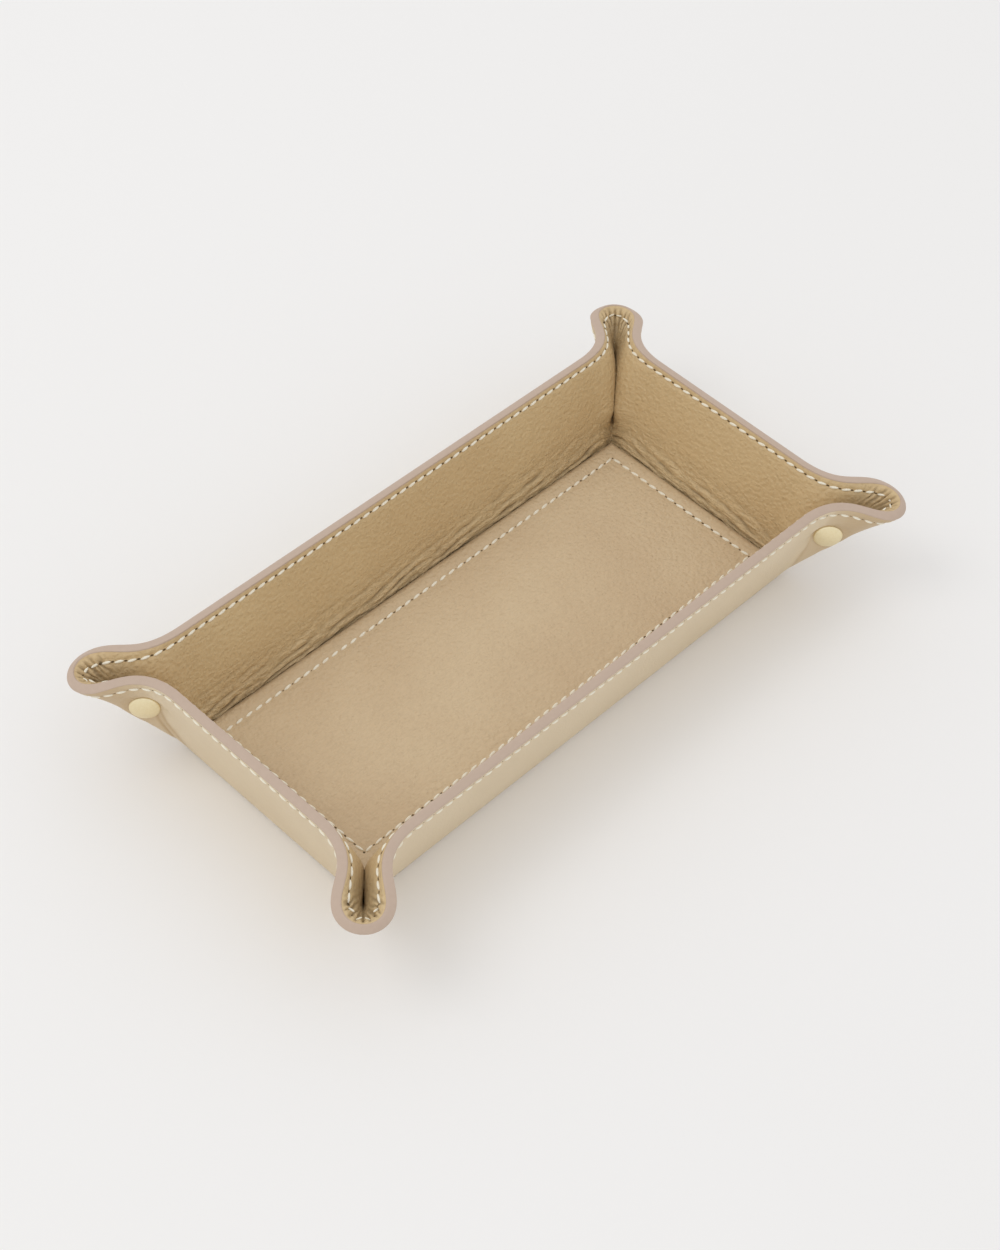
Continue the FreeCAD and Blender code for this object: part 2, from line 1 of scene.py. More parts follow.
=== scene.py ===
# %% [markdown]
# # A leather valet tray with snapped corners
# The tray is one sheet of lined leather. A board is sewn into its floor, its four walls are folded up,
# and each corner's spare leather is pinched into an ear by a brass snap. The solids of the frame hold
# the shape and the joints. This lesson dresses them in soft leather skins, thread, edge paint and brass.

# %% Open the frame
import bisect
import functools
import math

import bmesh
import bpy
from mathutils import Matrix, Vector, noise
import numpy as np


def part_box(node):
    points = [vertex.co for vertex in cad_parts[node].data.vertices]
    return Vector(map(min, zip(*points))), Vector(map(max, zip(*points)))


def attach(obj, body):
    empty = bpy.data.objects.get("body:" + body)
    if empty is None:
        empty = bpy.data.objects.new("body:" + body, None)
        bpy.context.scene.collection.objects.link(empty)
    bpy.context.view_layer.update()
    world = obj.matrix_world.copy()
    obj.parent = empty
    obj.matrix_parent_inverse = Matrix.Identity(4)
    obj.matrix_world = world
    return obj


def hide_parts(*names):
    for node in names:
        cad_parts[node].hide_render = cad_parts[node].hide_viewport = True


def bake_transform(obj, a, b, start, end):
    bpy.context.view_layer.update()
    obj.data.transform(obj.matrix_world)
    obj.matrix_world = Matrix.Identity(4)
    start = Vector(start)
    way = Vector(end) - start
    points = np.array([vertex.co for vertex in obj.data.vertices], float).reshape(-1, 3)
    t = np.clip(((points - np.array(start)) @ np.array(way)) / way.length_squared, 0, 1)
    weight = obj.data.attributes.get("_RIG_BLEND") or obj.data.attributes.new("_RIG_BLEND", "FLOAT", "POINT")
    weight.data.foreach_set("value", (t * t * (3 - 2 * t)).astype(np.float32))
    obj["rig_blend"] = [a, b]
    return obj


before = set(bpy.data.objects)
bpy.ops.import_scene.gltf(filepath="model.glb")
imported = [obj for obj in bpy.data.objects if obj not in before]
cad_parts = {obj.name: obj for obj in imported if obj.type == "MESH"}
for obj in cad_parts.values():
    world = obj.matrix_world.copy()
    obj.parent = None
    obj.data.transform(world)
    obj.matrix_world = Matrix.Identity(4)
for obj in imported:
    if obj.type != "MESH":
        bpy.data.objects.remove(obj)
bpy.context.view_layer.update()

scene = bpy.context.scene
scene.view_settings.view_transform = "Standard"

# %% [markdown]
# ## Driving sizes
# A maker works from a few sizes: the fold lines round the base, the leather's thickness, the slant of the
# walls and the place of the snaps. They are written in millimetres, as in the part, and `MM` turns them
# into Blender's metres at the end. What the frame can tell is read from it.

# %% Sizes in millimetres
MM = 0.001
HALF_LONG = 101.0
HALF_WIDE = 41.0
LEATHER = 1.8
WALL_ANGLE = math.radians(75)
WALL_SLANT = 42.5
FOLD_Z = LEATHER
FOOT_Z = 2 * LEATHER
PAINT_TOP, PAINT_HIGH = 40.6, 0.5
RIM_Z = FOLD_Z + (PAINT_TOP - PAINT_HIGH) * math.sin(WALL_ANGLE) + LEATHER * math.cos(WALL_ANGLE)
THREAD = 1.0
BASE_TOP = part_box("base_lining")[1].z / MM
BASE_SEAM = Vector(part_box("base_seam")[1][:2]) / MM - Vector((THREAD, THREAD)) / 2
WALLS = {"front": ("long", -1), "back": ("long", 1), "left": ("short", -1), "right": ("short", 1)}
ROOT_HALF = math.sqrt(0.5)


def half_length(wall):
    """Half the length of a wall's fold line."""
    return HALF_LONG if WALLS[wall][0] == "long" else HALF_WIDE


def ends(wall):
    """The two neighbours of a wall, with the end of the wall where each one meets it."""
    names = ("left", "right") if WALLS[wall][0] == "long" else ("front", "back")
    return ((-1, names[0]), (1, names[1]))


print(f"base top {BASE_TOP:.1f} mm, base seam {2 * BASE_SEAM.x:.1f} by {2 * BASE_SEAM.y:.1f} mm")
print(f"leather ends {RIM_Z:.1f} mm above the table")

# %% [markdown]
# ## Camera
# The photograph looks down into the tray over its near corner. Its lens and direction were worked out from
# the corners of the base seam, and the camera is set straight from those angles, so that the render can be
# laid over the picture. A helper like Track To would lose the small tilt of the picture.

# %% Camera
PICTURE_HEIGHT = 1250
FOCAL_PIXELS = 2406.9
EYE = Vector((-403.7, -336.4, 613.7))
YAW, PITCH, ROLL = math.radians(39.78), math.radians(48.75), math.radians(-5.90)


def camera_axes():
    """The camera's right, up and backward directions."""
    ahead = Vector((math.cos(YAW) * math.cos(PITCH), math.sin(YAW) * math.cos(PITCH), -math.sin(PITCH)))
    level = Vector((math.sin(YAW), -math.cos(YAW), 0))
    down = ahead.cross(level)
    right = math.cos(ROLL) * level + math.sin(ROLL) * down
    up = math.sin(ROLL) * level - math.cos(ROLL) * down
    return right, up, -ahead


lens = bpy.data.cameras.new("camera")
lens.sensor_fit = "VERTICAL"
lens.sensor_height = 36
lens.lens = lens.sensor_height * FOCAL_PIXELS / PICTURE_HEIGHT
camera = bpy.data.objects.new("camera", lens)
camera.matrix_world = Matrix.Translation(EYE * MM) @ Matrix(camera_axes()).transposed().to_4x4()
scene.collection.objects.link(camera)
scene.camera = camera
print(f"lens {lens.lens:.1f} mm")

# %% [markdown]
# ## Materials
# Every finish is built from nodes, with colours as sRGB hex values and patterns from real sizes. One small
# function adds a node, sets its inputs and links it, so that each material reads as a short list.

# %% Helpers for materials


def colour(code):
    """A hex sRGB colour as linear RGBA."""
    parts = [int(code[i:i + 2], 16) / 255 for i in (1, 3, 5)]
    return tuple(c / 12.92 if c <= 0.04045 else ((c + 0.055) / 1.055) ** 2.4 for c in parts) + (1.0,)


def add(tree, kind, inputs, **settings):
    """Adds a node, sets what is given and links what is a socket."""
    made = tree.nodes.new(kind)
    for name, value in settings.items():
        setattr(made, name, value)
    for socket, value in inputs.items():
        if isinstance(value, bpy.types.NodeSocket):
            tree.links.new(value, made.inputs[socket])
        else:
            made.inputs[socket].default_value = value
    return made


def new_material(name):
    """An empty material, its Principled shader and a socket with Object coordinates."""
    material = bpy.data.materials.new(name)
    material.use_nodes = True
    tree = material.node_tree
    shader = tree.nodes["Principled BSDF"]
    place = add(tree, "ShaderNodeTexCoord", {}).outputs["Object"]
    return material, tree, shader, place


def grain_scale(size):
    """The scale of a pattern on Object coordinates whose grain is so many millimetres."""
    return 1 / (size * MM)


print("middle grey is", round(colour("#808080")[0], 3), "in linear light")

# %% [markdown]
# ### Leather
# Both faces are chrome-tanned cowhide with a coloured finish. The lining is a warm tan with a pebbled
# grain, painted a trace warmer on the walls than on the floor for the warm light bounced between the walls.
# The outside is paler and smoother, and is painted a darker, warmer tan as shade where the ears bend it
# down. Voronoi cells pulled about by noise give the pebbles, a fine noise the pores, and a slow noise the
# clouding of dyed hide. The skins carry two attributes. Crease says how deep the painted shade is in a
# fold, a hollow or a bent ear, and the leather is mixed towards a shade colour there. Grain gives the
# distance along the fold, the climb from it and how hard the leather is squeezed, so that fine wrinkles
# run along every fold, with painted shade in their valleys.

# %% Leather
WRINKLE_RUN, WRINKLE_GAP = 4.5, 1.1
PORE, CLOUD = 0.35, 38


def wrinkle_lines(tree):
    """Height of the fine wrinkles along a fold, and the painted shade in their valleys."""
    grain = add(tree, "ShaderNodeAttribute", {}, attribute_name="grain").outputs["Vector"]
    squeeze = add(tree, "ShaderNodeSeparateXYZ", {0: grain}).outputs["Z"]
    drawn = add(tree, "ShaderNodeVectorMath", {0: grain, 1: (1 / WRINKLE_RUN, 1 / WRINKLE_GAP, 0)},
                operation="MULTIPLY")
    lines = add(tree, "ShaderNodeTexNoise", {"Vector": drawn.outputs[0], "Scale": 1.0, "Detail": 3.0,
                                             "Roughness": 0.55, "Distortion": 0.25})
    middle = add(tree, "ShaderNodeMath", {0: lines.outputs["Fac"], 1: 0.5}, operation="SUBTRACT")
    ridge = add(tree, "ShaderNodeMath", {0: middle.outputs[0]}, operation="ABSOLUTE")
    height = add(tree, "ShaderNodeMath", {0: ridge.outputs[0], 1: squeeze}, operation="MULTIPLY")
    # The valleys of the wrinkles are painted darker, as the shade that falls in them.
    cut = add(tree, "ShaderNodeMapRange", {"Value": ridge.outputs[0], "From Max": 0.06, "To Min": 0.3,
                                           "To Max": 0.0})
    dark = add(tree, "ShaderNodeMath", {0: cut.outputs[0], 1: squeeze}, operation="MULTIPLY")
    return height.outputs[0], dark.outputs[0]


def leather(name, pale, deep, fold, pebble, relief, rough):
    """Grained cowhide: satin, slightly uneven in colour, with painted shade in its folds."""
    material, tree, shader, place = new_material(name)
    warp = add(tree, "ShaderNodeTexNoise", {"Vector": place, "Scale": grain_scale(2 * pebble), "Detail": 2.0})
    pull = add(tree, "ShaderNodeVectorMath", {0: warp.outputs["Color"], 1: (0.5, 0.5, 0.5)},
               operation="SUBTRACT")
    reach = add(tree, "ShaderNodeVectorMath", {0: pull.outputs[0], "Scale": 1.4 * pebble * MM},
                operation="SCALE")
    moved = add(tree, "ShaderNodeVectorMath", {0: place, 1: reach.outputs[0]}, operation="ADD")
    cells = add(tree, "ShaderNodeTexVoronoi", {"Vector": moved.outputs[0], "Scale": grain_scale(pebble)},
                feature="SMOOTH_F1")
    pores = add(tree, "ShaderNodeTexNoise", {"Vector": place, "Scale": grain_scale(PORE), "Detail": 3.0})
    cloud = add(tree, "ShaderNodeTexNoise", {"Vector": place, "Scale": grain_scale(CLOUD), "Detail": 4.0})
    clouding = add(tree, "ShaderNodeMapRange", {"Value": cloud.outputs["Fac"], "From Min": 0.3,
                                                "From Max": 0.7})
    dyed = add(tree, "ShaderNodeMix", {"Factor": clouding.outputs[0], 6: colour(pale), 7: colour(deep)},
               data_type="RGBA")
    # The crease attribute and the wrinkle valleys mix in the fold colour: painted shade in folds, hollows and
    # bent ears.
    crease = add(tree, "ShaderNodeAttribute", {}, attribute_name="crease")
    wrinkle, line = wrinkle_lines(tree)
    depth = add(tree, "ShaderNodeMath", {0: crease.outputs["Fac"], 1: line}, operation="MAXIMUM")
    painted_shade_mix = add(tree, "ShaderNodeMix", {"Factor": depth.outputs[0], 6: dyed.outputs[2], 7: colour(fold)},
               data_type="RGBA")
    gloss = add(tree, "ShaderNodeMapRange", {"Value": pores.outputs["Fac"], "To Min": rough - 0.06,
                                             "To Max": rough + 0.06})
    pebbles = add(tree, "ShaderNodeBump", {"Height": cells.outputs["Distance"], "Strength": relief,
                                           "Distance": 0.35 * pebble * MM}, invert=True)
    skin = add(tree, "ShaderNodeBump", {"Height": pores.outputs["Fac"], "Strength": 0.5 * relief,
                                        "Distance": 0.06 * MM, "Normal": pebbles.outputs[0]})
    folds = add(tree, "ShaderNodeBump", {"Height": wrinkle, "Strength": 1.0, "Distance": 1.1 * MM,
                                         "Normal": skin.outputs[0]})
    tree.links.new(painted_shade_mix.outputs[2], shader.inputs["Base Color"])
    tree.links.new(gloss.outputs[0], shader.inputs["Roughness"])
    tree.links.new(folds.outputs[0], shader.inputs["Normal"])
    shader.inputs["Specular IOR Level"].default_value = 0.4
    return material


# The fourth colour of each leather is its painted shade colour, mixed in where shade falls.
FLOOR_LINING = leather("floor lining cowhide", "#D3BC98", "#CBB28E", "#5E4729", 1.3, 0.9, 0.52)
# The wall lining is the floor lining painted a trace warmer, for the warm light bounced between the walls.
WALL_LINING = leather("wall lining cowhide", "#D3BA8E", "#CBB084", "#5E4729", 1.3, 0.9, 0.52)
OUTER = leather("outer cowhide", "#DDCBAC", "#D7C4A4", "#A6824E", 0.8, 0.4, 0.5)
print("leathers:", ", ".join(hide.name for hide in (FLOOR_LINING, WALL_LINING, OUTER)))

# %% [markdown]
# ### Edge paint, thread, needle holes, brass and board
# The cut rim is sealed with several coats of matt acrylic paint, which hides the two leathers. The thread
# is waxed polyester, ivory, laid in twisted plies. A needle leaves a hole at each end of a stitch, and the
# shade in it is painted on a small dark brown shape. The snaps are pale brass with a satin tumbled finish.
# The boards are grey fibreboard that nobody sees.

# %% Edge paint, thread, needle holes, brass and board


def edge_paint():
    """Matt acrylic edge paint: even, with a trace of brush marks."""
    material, tree, shader, place = new_material("matt edge paint")
    brush = add(tree, "ShaderNodeTexNoise", {"Vector": place, "Scale": grain_scale(1.6), "Detail": 4.0})
    coats = add(tree, "ShaderNodeMix", {"Factor": brush.outputs["Fac"], 6: colour("#BAA491"),
                                        7: colour("#C2AC99")}, data_type="RGBA")
    drag = add(tree, "ShaderNodeBump", {"Height": brush.outputs["Fac"], "Strength": 0.25,
                                        "Distance": 0.12 * MM})
    tree.links.new(coats.outputs[2], shader.inputs["Base Color"])
    tree.links.new(drag.outputs[0], shader.inputs["Normal"])
    shader.inputs["Roughness"].default_value = 0.62
    return material


def waxed_thread():
    """Waxed polyester thread: pale, softly shiny, with fine plies."""
    material, tree, shader, place = new_material("waxed polyester thread")
    plies = add(tree, "ShaderNodeTexNoise", {"Vector": place, "Scale": grain_scale(0.4), "Detail": 2.0})
    tint = add(tree, "ShaderNodeMix", {"Factor": plies.outputs["Fac"], 6: colour("#E6DDC4"),
                                       7: colour("#F8F4E6")}, data_type="RGBA")
    twist = add(tree, "ShaderNodeBump", {"Height": plies.outputs["Fac"], "Strength": 0.5,
                                         "Distance": 0.15 * MM})
    tree.links.new(tint.outputs[2], shader.inputs["Base Color"])
    tree.links.new(twist.outputs[0], shader.inputs["Normal"])
    shader.inputs["Roughness"].default_value = 0.55
    return material


def needle_hole():
    """Painted shade inside a needle hole: dark brown, a little uneven."""
    material, tree, shader, place = new_material("needle hole fibre")
    fibre_and_shade = add(tree, "ShaderNodeTexNoise", {"Vector": place, "Scale": grain_scale(0.3)})
    # The hole is a dark brown shape that paints the shade inside it.
    tint = add(tree, "ShaderNodeMix", {"Factor": fibre_and_shade.outputs["Fac"], 6: colour("#443420"),
                                       7: colour("#6A5434")}, data_type="RGBA")
    tree.links.new(tint.outputs[2], shader.inputs["Base Color"])
    shader.inputs["Roughness"].default_value = 0.9
    return material


def satin_brass():
    """Tumbled brass: pale gold, satin, with faint uneven polish."""
    material, tree, shader, place = new_material("satin brass")
    polish = add(tree, "ShaderNodeTexNoise", {"Vector": place, "Scale": grain_scale(0.6), "Detail": 5.0})
    rub = add(tree, "ShaderNodeMapRange", {"Value": polish.outputs["Fac"], "To Min": 0.24, "To Max": 0.38})
    tone = add(tree, "ShaderNodeMix", {"Factor": polish.outputs["Fac"], 6: colour("#EAD9AC"),
                                       7: colour("#F5E9C6")}, data_type="RGBA")
    tree.links.new(tone.outputs[2], shader.inputs["Base Color"])
    tree.links.new(rub.outputs[0], shader.inputs["Roughness"])
    shader.inputs["Metallic"].default_value = 1.0
    return material


def fibreboard():
    """Pressed grey fibreboard."""
    material, tree, shader, place = new_material("pressed fibreboard")
    fibre_and_shade = add(tree, "ShaderNodeTexNoise", {"Vector": place, "Scale": grain_scale(0.8), "Detail": 6.0})
    tint = add(tree, "ShaderNodeMix", {"Factor": fibre_and_shade.outputs["Fac"], 6: colour("#6B6257"),
                                       7: colour("#8A8073")}, data_type="RGBA")
    tree.links.new(tint.outputs[2], shader.inputs["Base Color"])
    shader.inputs["Roughness"].default_value = 0.85
    return material


PAINT, IVORY, HOLE, BRASS, BOARD = edge_paint(), waxed_thread(), needle_hole(), satin_brass(), fibreboard()
for label, finish in (("board", BOARD), ("socket", BRASS), ("stud", BRASS)):
    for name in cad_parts:
        if label in name:
            bpy.data.objects[name].data.materials.clear()
            bpy.data.objects[name].data.materials.append(finish)
print("materials:", len(bpy.data.materials))

# %% [markdown]
# ## The leather's form
# A wall and its two half-ears are one bent sheet, so one surface describes them. Two rails carry it. The
# wall rail climbs from the dark valley at the base, round a soft tuck and up the slanted wall. The keel
# rail climbs along the ear's lower edge to its tip. At each height a single curve leaves the wall in line
# with it and meets the keel square across, which gives the rim its smooth S without a kink.
# A spot is measured along the wall from the corner of the fold lines, out from the fold, and up.

# %% Rails
VALLEY = Vector((-1.8, 3.8))
TUCK = 0.45
TUCK_WALL_Z = 15.0
TUCK_KEEL = 0.16
TUCK_LEAD, WALL_LEAD = Vector((-1.1, 2.8)), 6
FOOT_LEAD, BEND_LEAD = Vector((1.2, 0)), 5
KEEL_START = -2.4
KEEL_SLOPE, TIP_SLOPE = math.radians(49), math.radians(40)
KEEL_LEAD, TIP_LEAD = 15, 11
TIP = (34.8, 37.6)
TIPS = {frozenset(("left", "back")): (33.6, 35.0)}
UP_WALL = Vector((math.cos(WALL_ANGLE), math.sin(WALL_ANGLE)))


def tip_of(wall, corner):
    """Reach and height of an ear's tip. One ear of the tray droops a little."""
    return TIPS.get(frozenset((wall, corner)), TIP)


def bezier(points, share):
    """A point of a smooth curve pulled by its guides."""
    last = len(points) - 1
    return sum((math.comb(last, i) * share ** i * (1 - share) ** (last - i) * point
                for i, point in enumerate(points)), 0 * points[0])


def wall_offset(z):
    """How far the wall's inner face is outside the fold at a height."""
    return (z - FOLD_Z) / math.tan(WALL_ANGLE) - LEATHER / math.sin(WALL_ANGLE)


def wall_rail(height, tucked):
    """Out and up at a share of the wall's height: the visible lining is tucked in at its foot."""
    if not tucked:
        z = FOOT_Z + (RIM_Z - FOOT_Z) * height
        return Vector((wall_offset(z), z))
    if height >= TUCK:
        z = TUCK_WALL_Z + (RIM_Z - TUCK_WALL_Z) * (height - TUCK) / (1 - TUCK)
        return Vector((wall_offset(z), z))
    top = Vector((wall_offset(TUCK_WALL_Z), TUCK_WALL_Z))
    return bezier([VALLEY, VALLEY + TUCK_LEAD, top - WALL_LEAD * UP_WALL, top], height / TUCK)


def keel(share, tip):
    """Distance from the corner, along its diagonal, and height of the ear's inner keel."""
    low, high = Vector((KEEL_START, FOOT_Z)), Vector(tip)
    steep = Vector((math.cos(KEEL_SLOPE), math.sin(KEEL_SLOPE)))
    flat = Vector((math.cos(TIP_SLOPE), math.sin(TIP_SLOPE)))
    return bezier([low, low + KEEL_LEAD * steep, high - TIP_LEAD * flat, high], share)


def keel_rail(height, tucked, tip):
    """The keel, tucked in at its foot where the lining shows."""
    if not tucked:
        return keel(height, tip)
    if height >= TUCK:
        return keel(TUCK_KEEL + (1 - TUCK_KEEL) * (height - TUCK) / (1 - TUCK), tip)
    corner, bend = Vector((VALLEY.x / ROOT_HALF, VALLEY.y)), keel(TUCK_KEEL, tip)
    slope = (keel(TUCK_KEEL + 0.01, tip) - bend).normalized()
    return bezier([corner, corner + FOOT_LEAD, bend - BEND_LEAD * slope, bend], height / TUCK)


print("foot of the wall rail", tuple(round(v, 1) for v in wall_rail(0, True)))

# %% [markdown]
# ### Measures at a corner
# The wall starts to bend some way before the crease that hinges the ear, and sooner towards the rim. The
# ear stands on the corner's diagonal, so its spots are measured out along the diagonal and aside from it.

# %% Measures at a corner
CREASE_FOOT, CREASE_LEAN = 4.0, 1.5
LEAD_FOOT, LEAD_RIM = 3.0, 10.0


def smooth(share):
    """Eases from 0 to 1 while a share goes from 0 to 1."""
    share = min(max(share, 0), 1)
    return share * share * (3 - 2 * share)


def crease_at(z):
    """Where the hinge line between wall and ear stands at a height."""
    return -CREASE_FOOT + (CREASE_FOOT + CREASE_LEAN) * (z - FOLD_Z) / (WALL_SLANT * math.sin(WALL_ANGLE))


def bend_start(z):
    """Where the wall starts to bend into the ear: further from the crease towards the rim."""
    return crease_at(z) - LEAD_FOOT - (LEAD_RIM - LEAD_FOOT) * (z - FOOT_Z) / (RIM_Z - FOOT_Z)


def diagonal(p, q, z):
    """A spot from its distance out along the corner's diagonal and aside from it."""
    return Vector(((p - q) * ROOT_HALF, (p + q) * ROOT_HALF, z))


def from_diagonal(spot):
    """A spot's distance out along the corner's diagonal and aside from it."""
    return (spot.x + spot.y) * ROOT_HALF, (spot.y - spot.x) * ROOT_HALF


print(f"at the rim a wall bends {-bend_start(RIM_Z):.1f} mm before the corner")

# %% [markdown]
# ### From wall to ear
# Six guides pull the curve from wall to keel. The first two keep the wall's direction, the last two meet
# the keel square across, and the two between them draw the neck in and swell the mouth. Their values are
# known at the rim, at the slit that the lining closes to by the snap, and at the grip of the caps on the
# outside. The halves stop `HALF_GAP` from the middle, so that they can part when the tray is opened.

# %% The ear's surface
BEND_RUN = 0.25
RIM_GUIDES = (0.59, -3.0, 0.67, 11.8, 7.8)
SLIT_GUIDES, SLIT_LATE = (0.30, -4.0, 0.60, -0.3, 0.6), 2.5
GRIP_GUIDES, GRIP_LATE = (0.45, 0.8, 0.70, 1.4, 1.6), 1.5
SLIT_HALF, SLIT_SOFT = 0.03, 0.003
SNAP_REACH, SNAP_Z = 12.0, 23.1
HALF_GAP = 0.002


@functools.lru_cache(maxsize=None)
def ear_spot(share, height, tucked, tip):
    """A spot of the half-ear, from the wall (share 0) to the keel (share 1)."""
    out, z = wall_rail(height, tucked)
    start = Vector((bend_start(z), out, z))
    p, keel_z = keel_rail(height, tucked, tip)
    end = diagonal(p, HALF_GAP, keel_z)
    ahead = start + Vector((BEND_RUN * (end - start).xy.length, 0, 0))
    held, late = (SLIT_GUIDES, SLIT_LATE) if tucked else (GRIP_GUIDES, GRIP_LATE)
    flare = max((keel_z - SNAP_Z) / (tip[1] - SNAP_Z), 0) ** late
    neck_at, neck, bulb_at, bulb, mouth = (a + (b - a) * flare for a, b in zip(held, RIM_GUIDES))
    low = 1 - smooth((keel_z - FOOT_Z) / 5) if tucked else 0
    aside = (1 - low) * Vector((-ROOT_HALF, ROOT_HALF, 0)) + low * Vector((-1, 0, 0))
    first, firm = from_diagonal(start)[0], smooth((keel_z - 5) / 10)
    side = end + mouth * (0.3 + 0.7 * firm) * aside
    between = []
    for third, at, off in ((1, neck_at, neck), (2, bulb_at, bulb)):
        drawn = diagonal(first + at * (p - first), off, z + third / 3 * (keel_z - z))
        between.append(ahead.lerp(side, third / 3).lerp(drawn, firm))
    spot = bezier([start, ahead, *between, side, end], share)
    p, q = from_diagonal(spot)
    fade = min(10 * (1 - share), 1)
    over = q - SLIT_HALF * fade
    return diagonal(p, SLIT_HALF * fade + (over + math.sqrt(over * over + SLIT_SOFT * fade)) / 2, spot.z)


rim = [ear_spot(i / 40, 1, True, TIP) for i in range(41)]
print("rim of an ear runs", round(sum((b - a).length for a, b in zip(rim, rim[1:])), 1), "mm")

# %% [markdown]
# ### The wall's surface, and normals
# A wall is straight between the places where it starts to bend. Skins are carved and thickened along the
# surface's normal, which is found from two small steps over the surface.

# %% The wall's surface, and normals
STEP = 0.0008


def wall_spot(wall, share, height, tucked):
    """The wall from its left end (share 0) to its right end (share 1)."""
    out, z = wall_rail(height, tucked)
    half = half_length(wall)
    reach = half + bend_start(z)
    return Vector(((2 * share - 1) * reach - half, out, z))


def outward(surface, share, height):
    """The unit normal of a surface, on its outer side."""
    across = surface(min(share + STEP, 1), height) - surface(max(share - STEP, 0), height)
    climb = surface(share, min(height + STEP, 1)) - surface(share, max(height - STEP, 0))
    return climb.cross(across).normalized()


def wall_form(wall, tucked):
    """A wall's surface as a function of two shares."""
    return lambda share, height: wall_spot(wall, share, height, tucked)


def ear_form(wall, corner, tucked):
    """A half-ear's surface as a function of two shares."""
    tip = tip_of(wall, corner)
    return lambda share, height: ear_spot(share, height, tucked, tip)


facing_out = outward(wall_form("front", True), 0.5, 0.8)
print("a wall's normal dips", round(math.degrees(math.asin(-facing_out.z)), 1), "degrees")

# %% [markdown]
# ## Laying a skin
# A grid of vertices is laid over the surface, then extruded back by the leather's thickness, so each
# leather is a closed shell. Solidify would do the same, but it shoots out spikes at tight corners. A flat
# grid bent by modifiers can't follow two rails. Sharp cut edges are marked by angle.

# %% Helpers for pieces
SHARP = math.radians(40)
MERGE = 0.01 * MM


def place(wall, end, spot):
    """A spot of a wall or ear as a point of the frame, in metres."""
    along, out, z = spot
    side, facing = WALLS[wall]
    if side == "long":
        return Vector((end * (HALF_LONG + along), facing * (HALF_WIDE + out), z)) * MM
    return Vector((facing * (HALF_LONG + out), end * (HALF_WIDE + along), z)) * MM


def mirrored(wall, end):
    """True where placing turns a shape into its mirror image."""
    side, facing = WALLS[wall]
    return end * facing * (1 if side == "long" else -1) < 0


def add_skin(bm, columns, rows, skin, flip):
    """Lays a grid over a skin, a function of two shares that gives a point, how deep its painted shade is,
    and its grain.
    """
    # The crease layer holds painted shade: how far each vertex is darkened towards the shade colour.
    if not bm.verts.layers.float:
        bm.verts.layers.float.new("crease")
        bm.verts.layers.float_vector.new("grain")
    dark, grain = bm.verts.layers.float["crease"], bm.verts.layers.float_vector["grain"]
    grid = bmesh.ops.create_grid(bm, x_segments=columns, y_segments=rows, size=0.5)
    faces = {face for vert in grid["verts"] for face in vert.link_faces}
    for vert in grid["verts"]:
        vert.co, vert[dark], vert[grain] = skin(vert.co.x + 0.5, vert.co.y + 0.5)
    if flip:
        bmesh.ops.reverse_faces(bm, faces=list(faces))


def new_piece(bm, name, *materials):
    """Turns a bmesh into an object, smooth apart from its sharp edges."""
    bm.normal_update()
    for face in bm.faces:
        face.smooth = True
    for edge in bm.edges:
        edge.smooth = edge.calc_face_angle(0) < SHARP
    mesh = bpy.data.meshes.new(name)
    bm.to_mesh(mesh)
    bm.free()
    for material in materials:
        mesh.materials.append(material)
    piece = bpy.data.objects.new(name, mesh)
    scene.collection.objects.link(piece)
    return piece


def thicken(bm, thickness):
    """Joins the grids of a skin and closes it with a second layer behind its faces."""
    bmesh.ops.remove_doubles(bm, verts=bm.verts[:], dist=MERGE)
    bm.normal_update()
    behind = bmesh.ops.extrude_face_region(bm, geom=bm.faces[:], use_keep_orig=True)["geom"]
    bm.normal_update()
    for vert in [item for item in behind if isinstance(item, bmesh.types.BMVert)]:
        vert.co -= thickness * MM * vert.normal
    bmesh.ops.recalc_face_normals(bm, faces=bm.faces[:])


SKIN = LEATHER - 0.1
print("skins are", SKIN, "mm thick")

# %% [markdown]
# ## Wrinkles, seams and gathers
# Folding squeezes the lining, so long wrinkles run along the fold and fade up the wall. A seam draws the
# leather down in a shallow channel. Round an ear's tip the lining has too much length and gathers into
# short pleats. All three are small moves of the skin's vertices, because they change the outline of the
# light, which a bump in the material would not do up close.

# %% Relief of the lining
TUCK_CLIMB, WALL_CLIMB = 12.0, (RIM_Z - TUCK_WALL_Z) / math.sin(WALL_ANGLE)
SEAM_INSET, EAR_INSET = 2.0, 2.2
RIDGE_GAP, RIDGE_HEIGHT, LUMP_HEIGHT = 3.1, 0.8, 0.35
SEAM_SINK, SEAM_SPREAD = 0.35, 0.8
SKIVE, SKIVE_RUN = 0.3, 1.5
GATHERS, PLEAT_RISE, PLEAT_DEPTH, PLEAT_WIDTH = 14, 0.2, 0.65, 0.24
STILL = (0.0, 0.0, 0.0)


def seam_inset(share, tip):
    """How far a rim seam is below the rim: a little more towards the tip of an ear."""
    return SEAM_INSET + (EAR_INSET * smooth(share / 0.8) if tip else 0)


def seam_channel(away):
    """How far a seam draws the leather down, by the distance from the seam."""
    return -SEAM_SINK * math.exp(-(away / SEAM_SPREAD) ** 2)


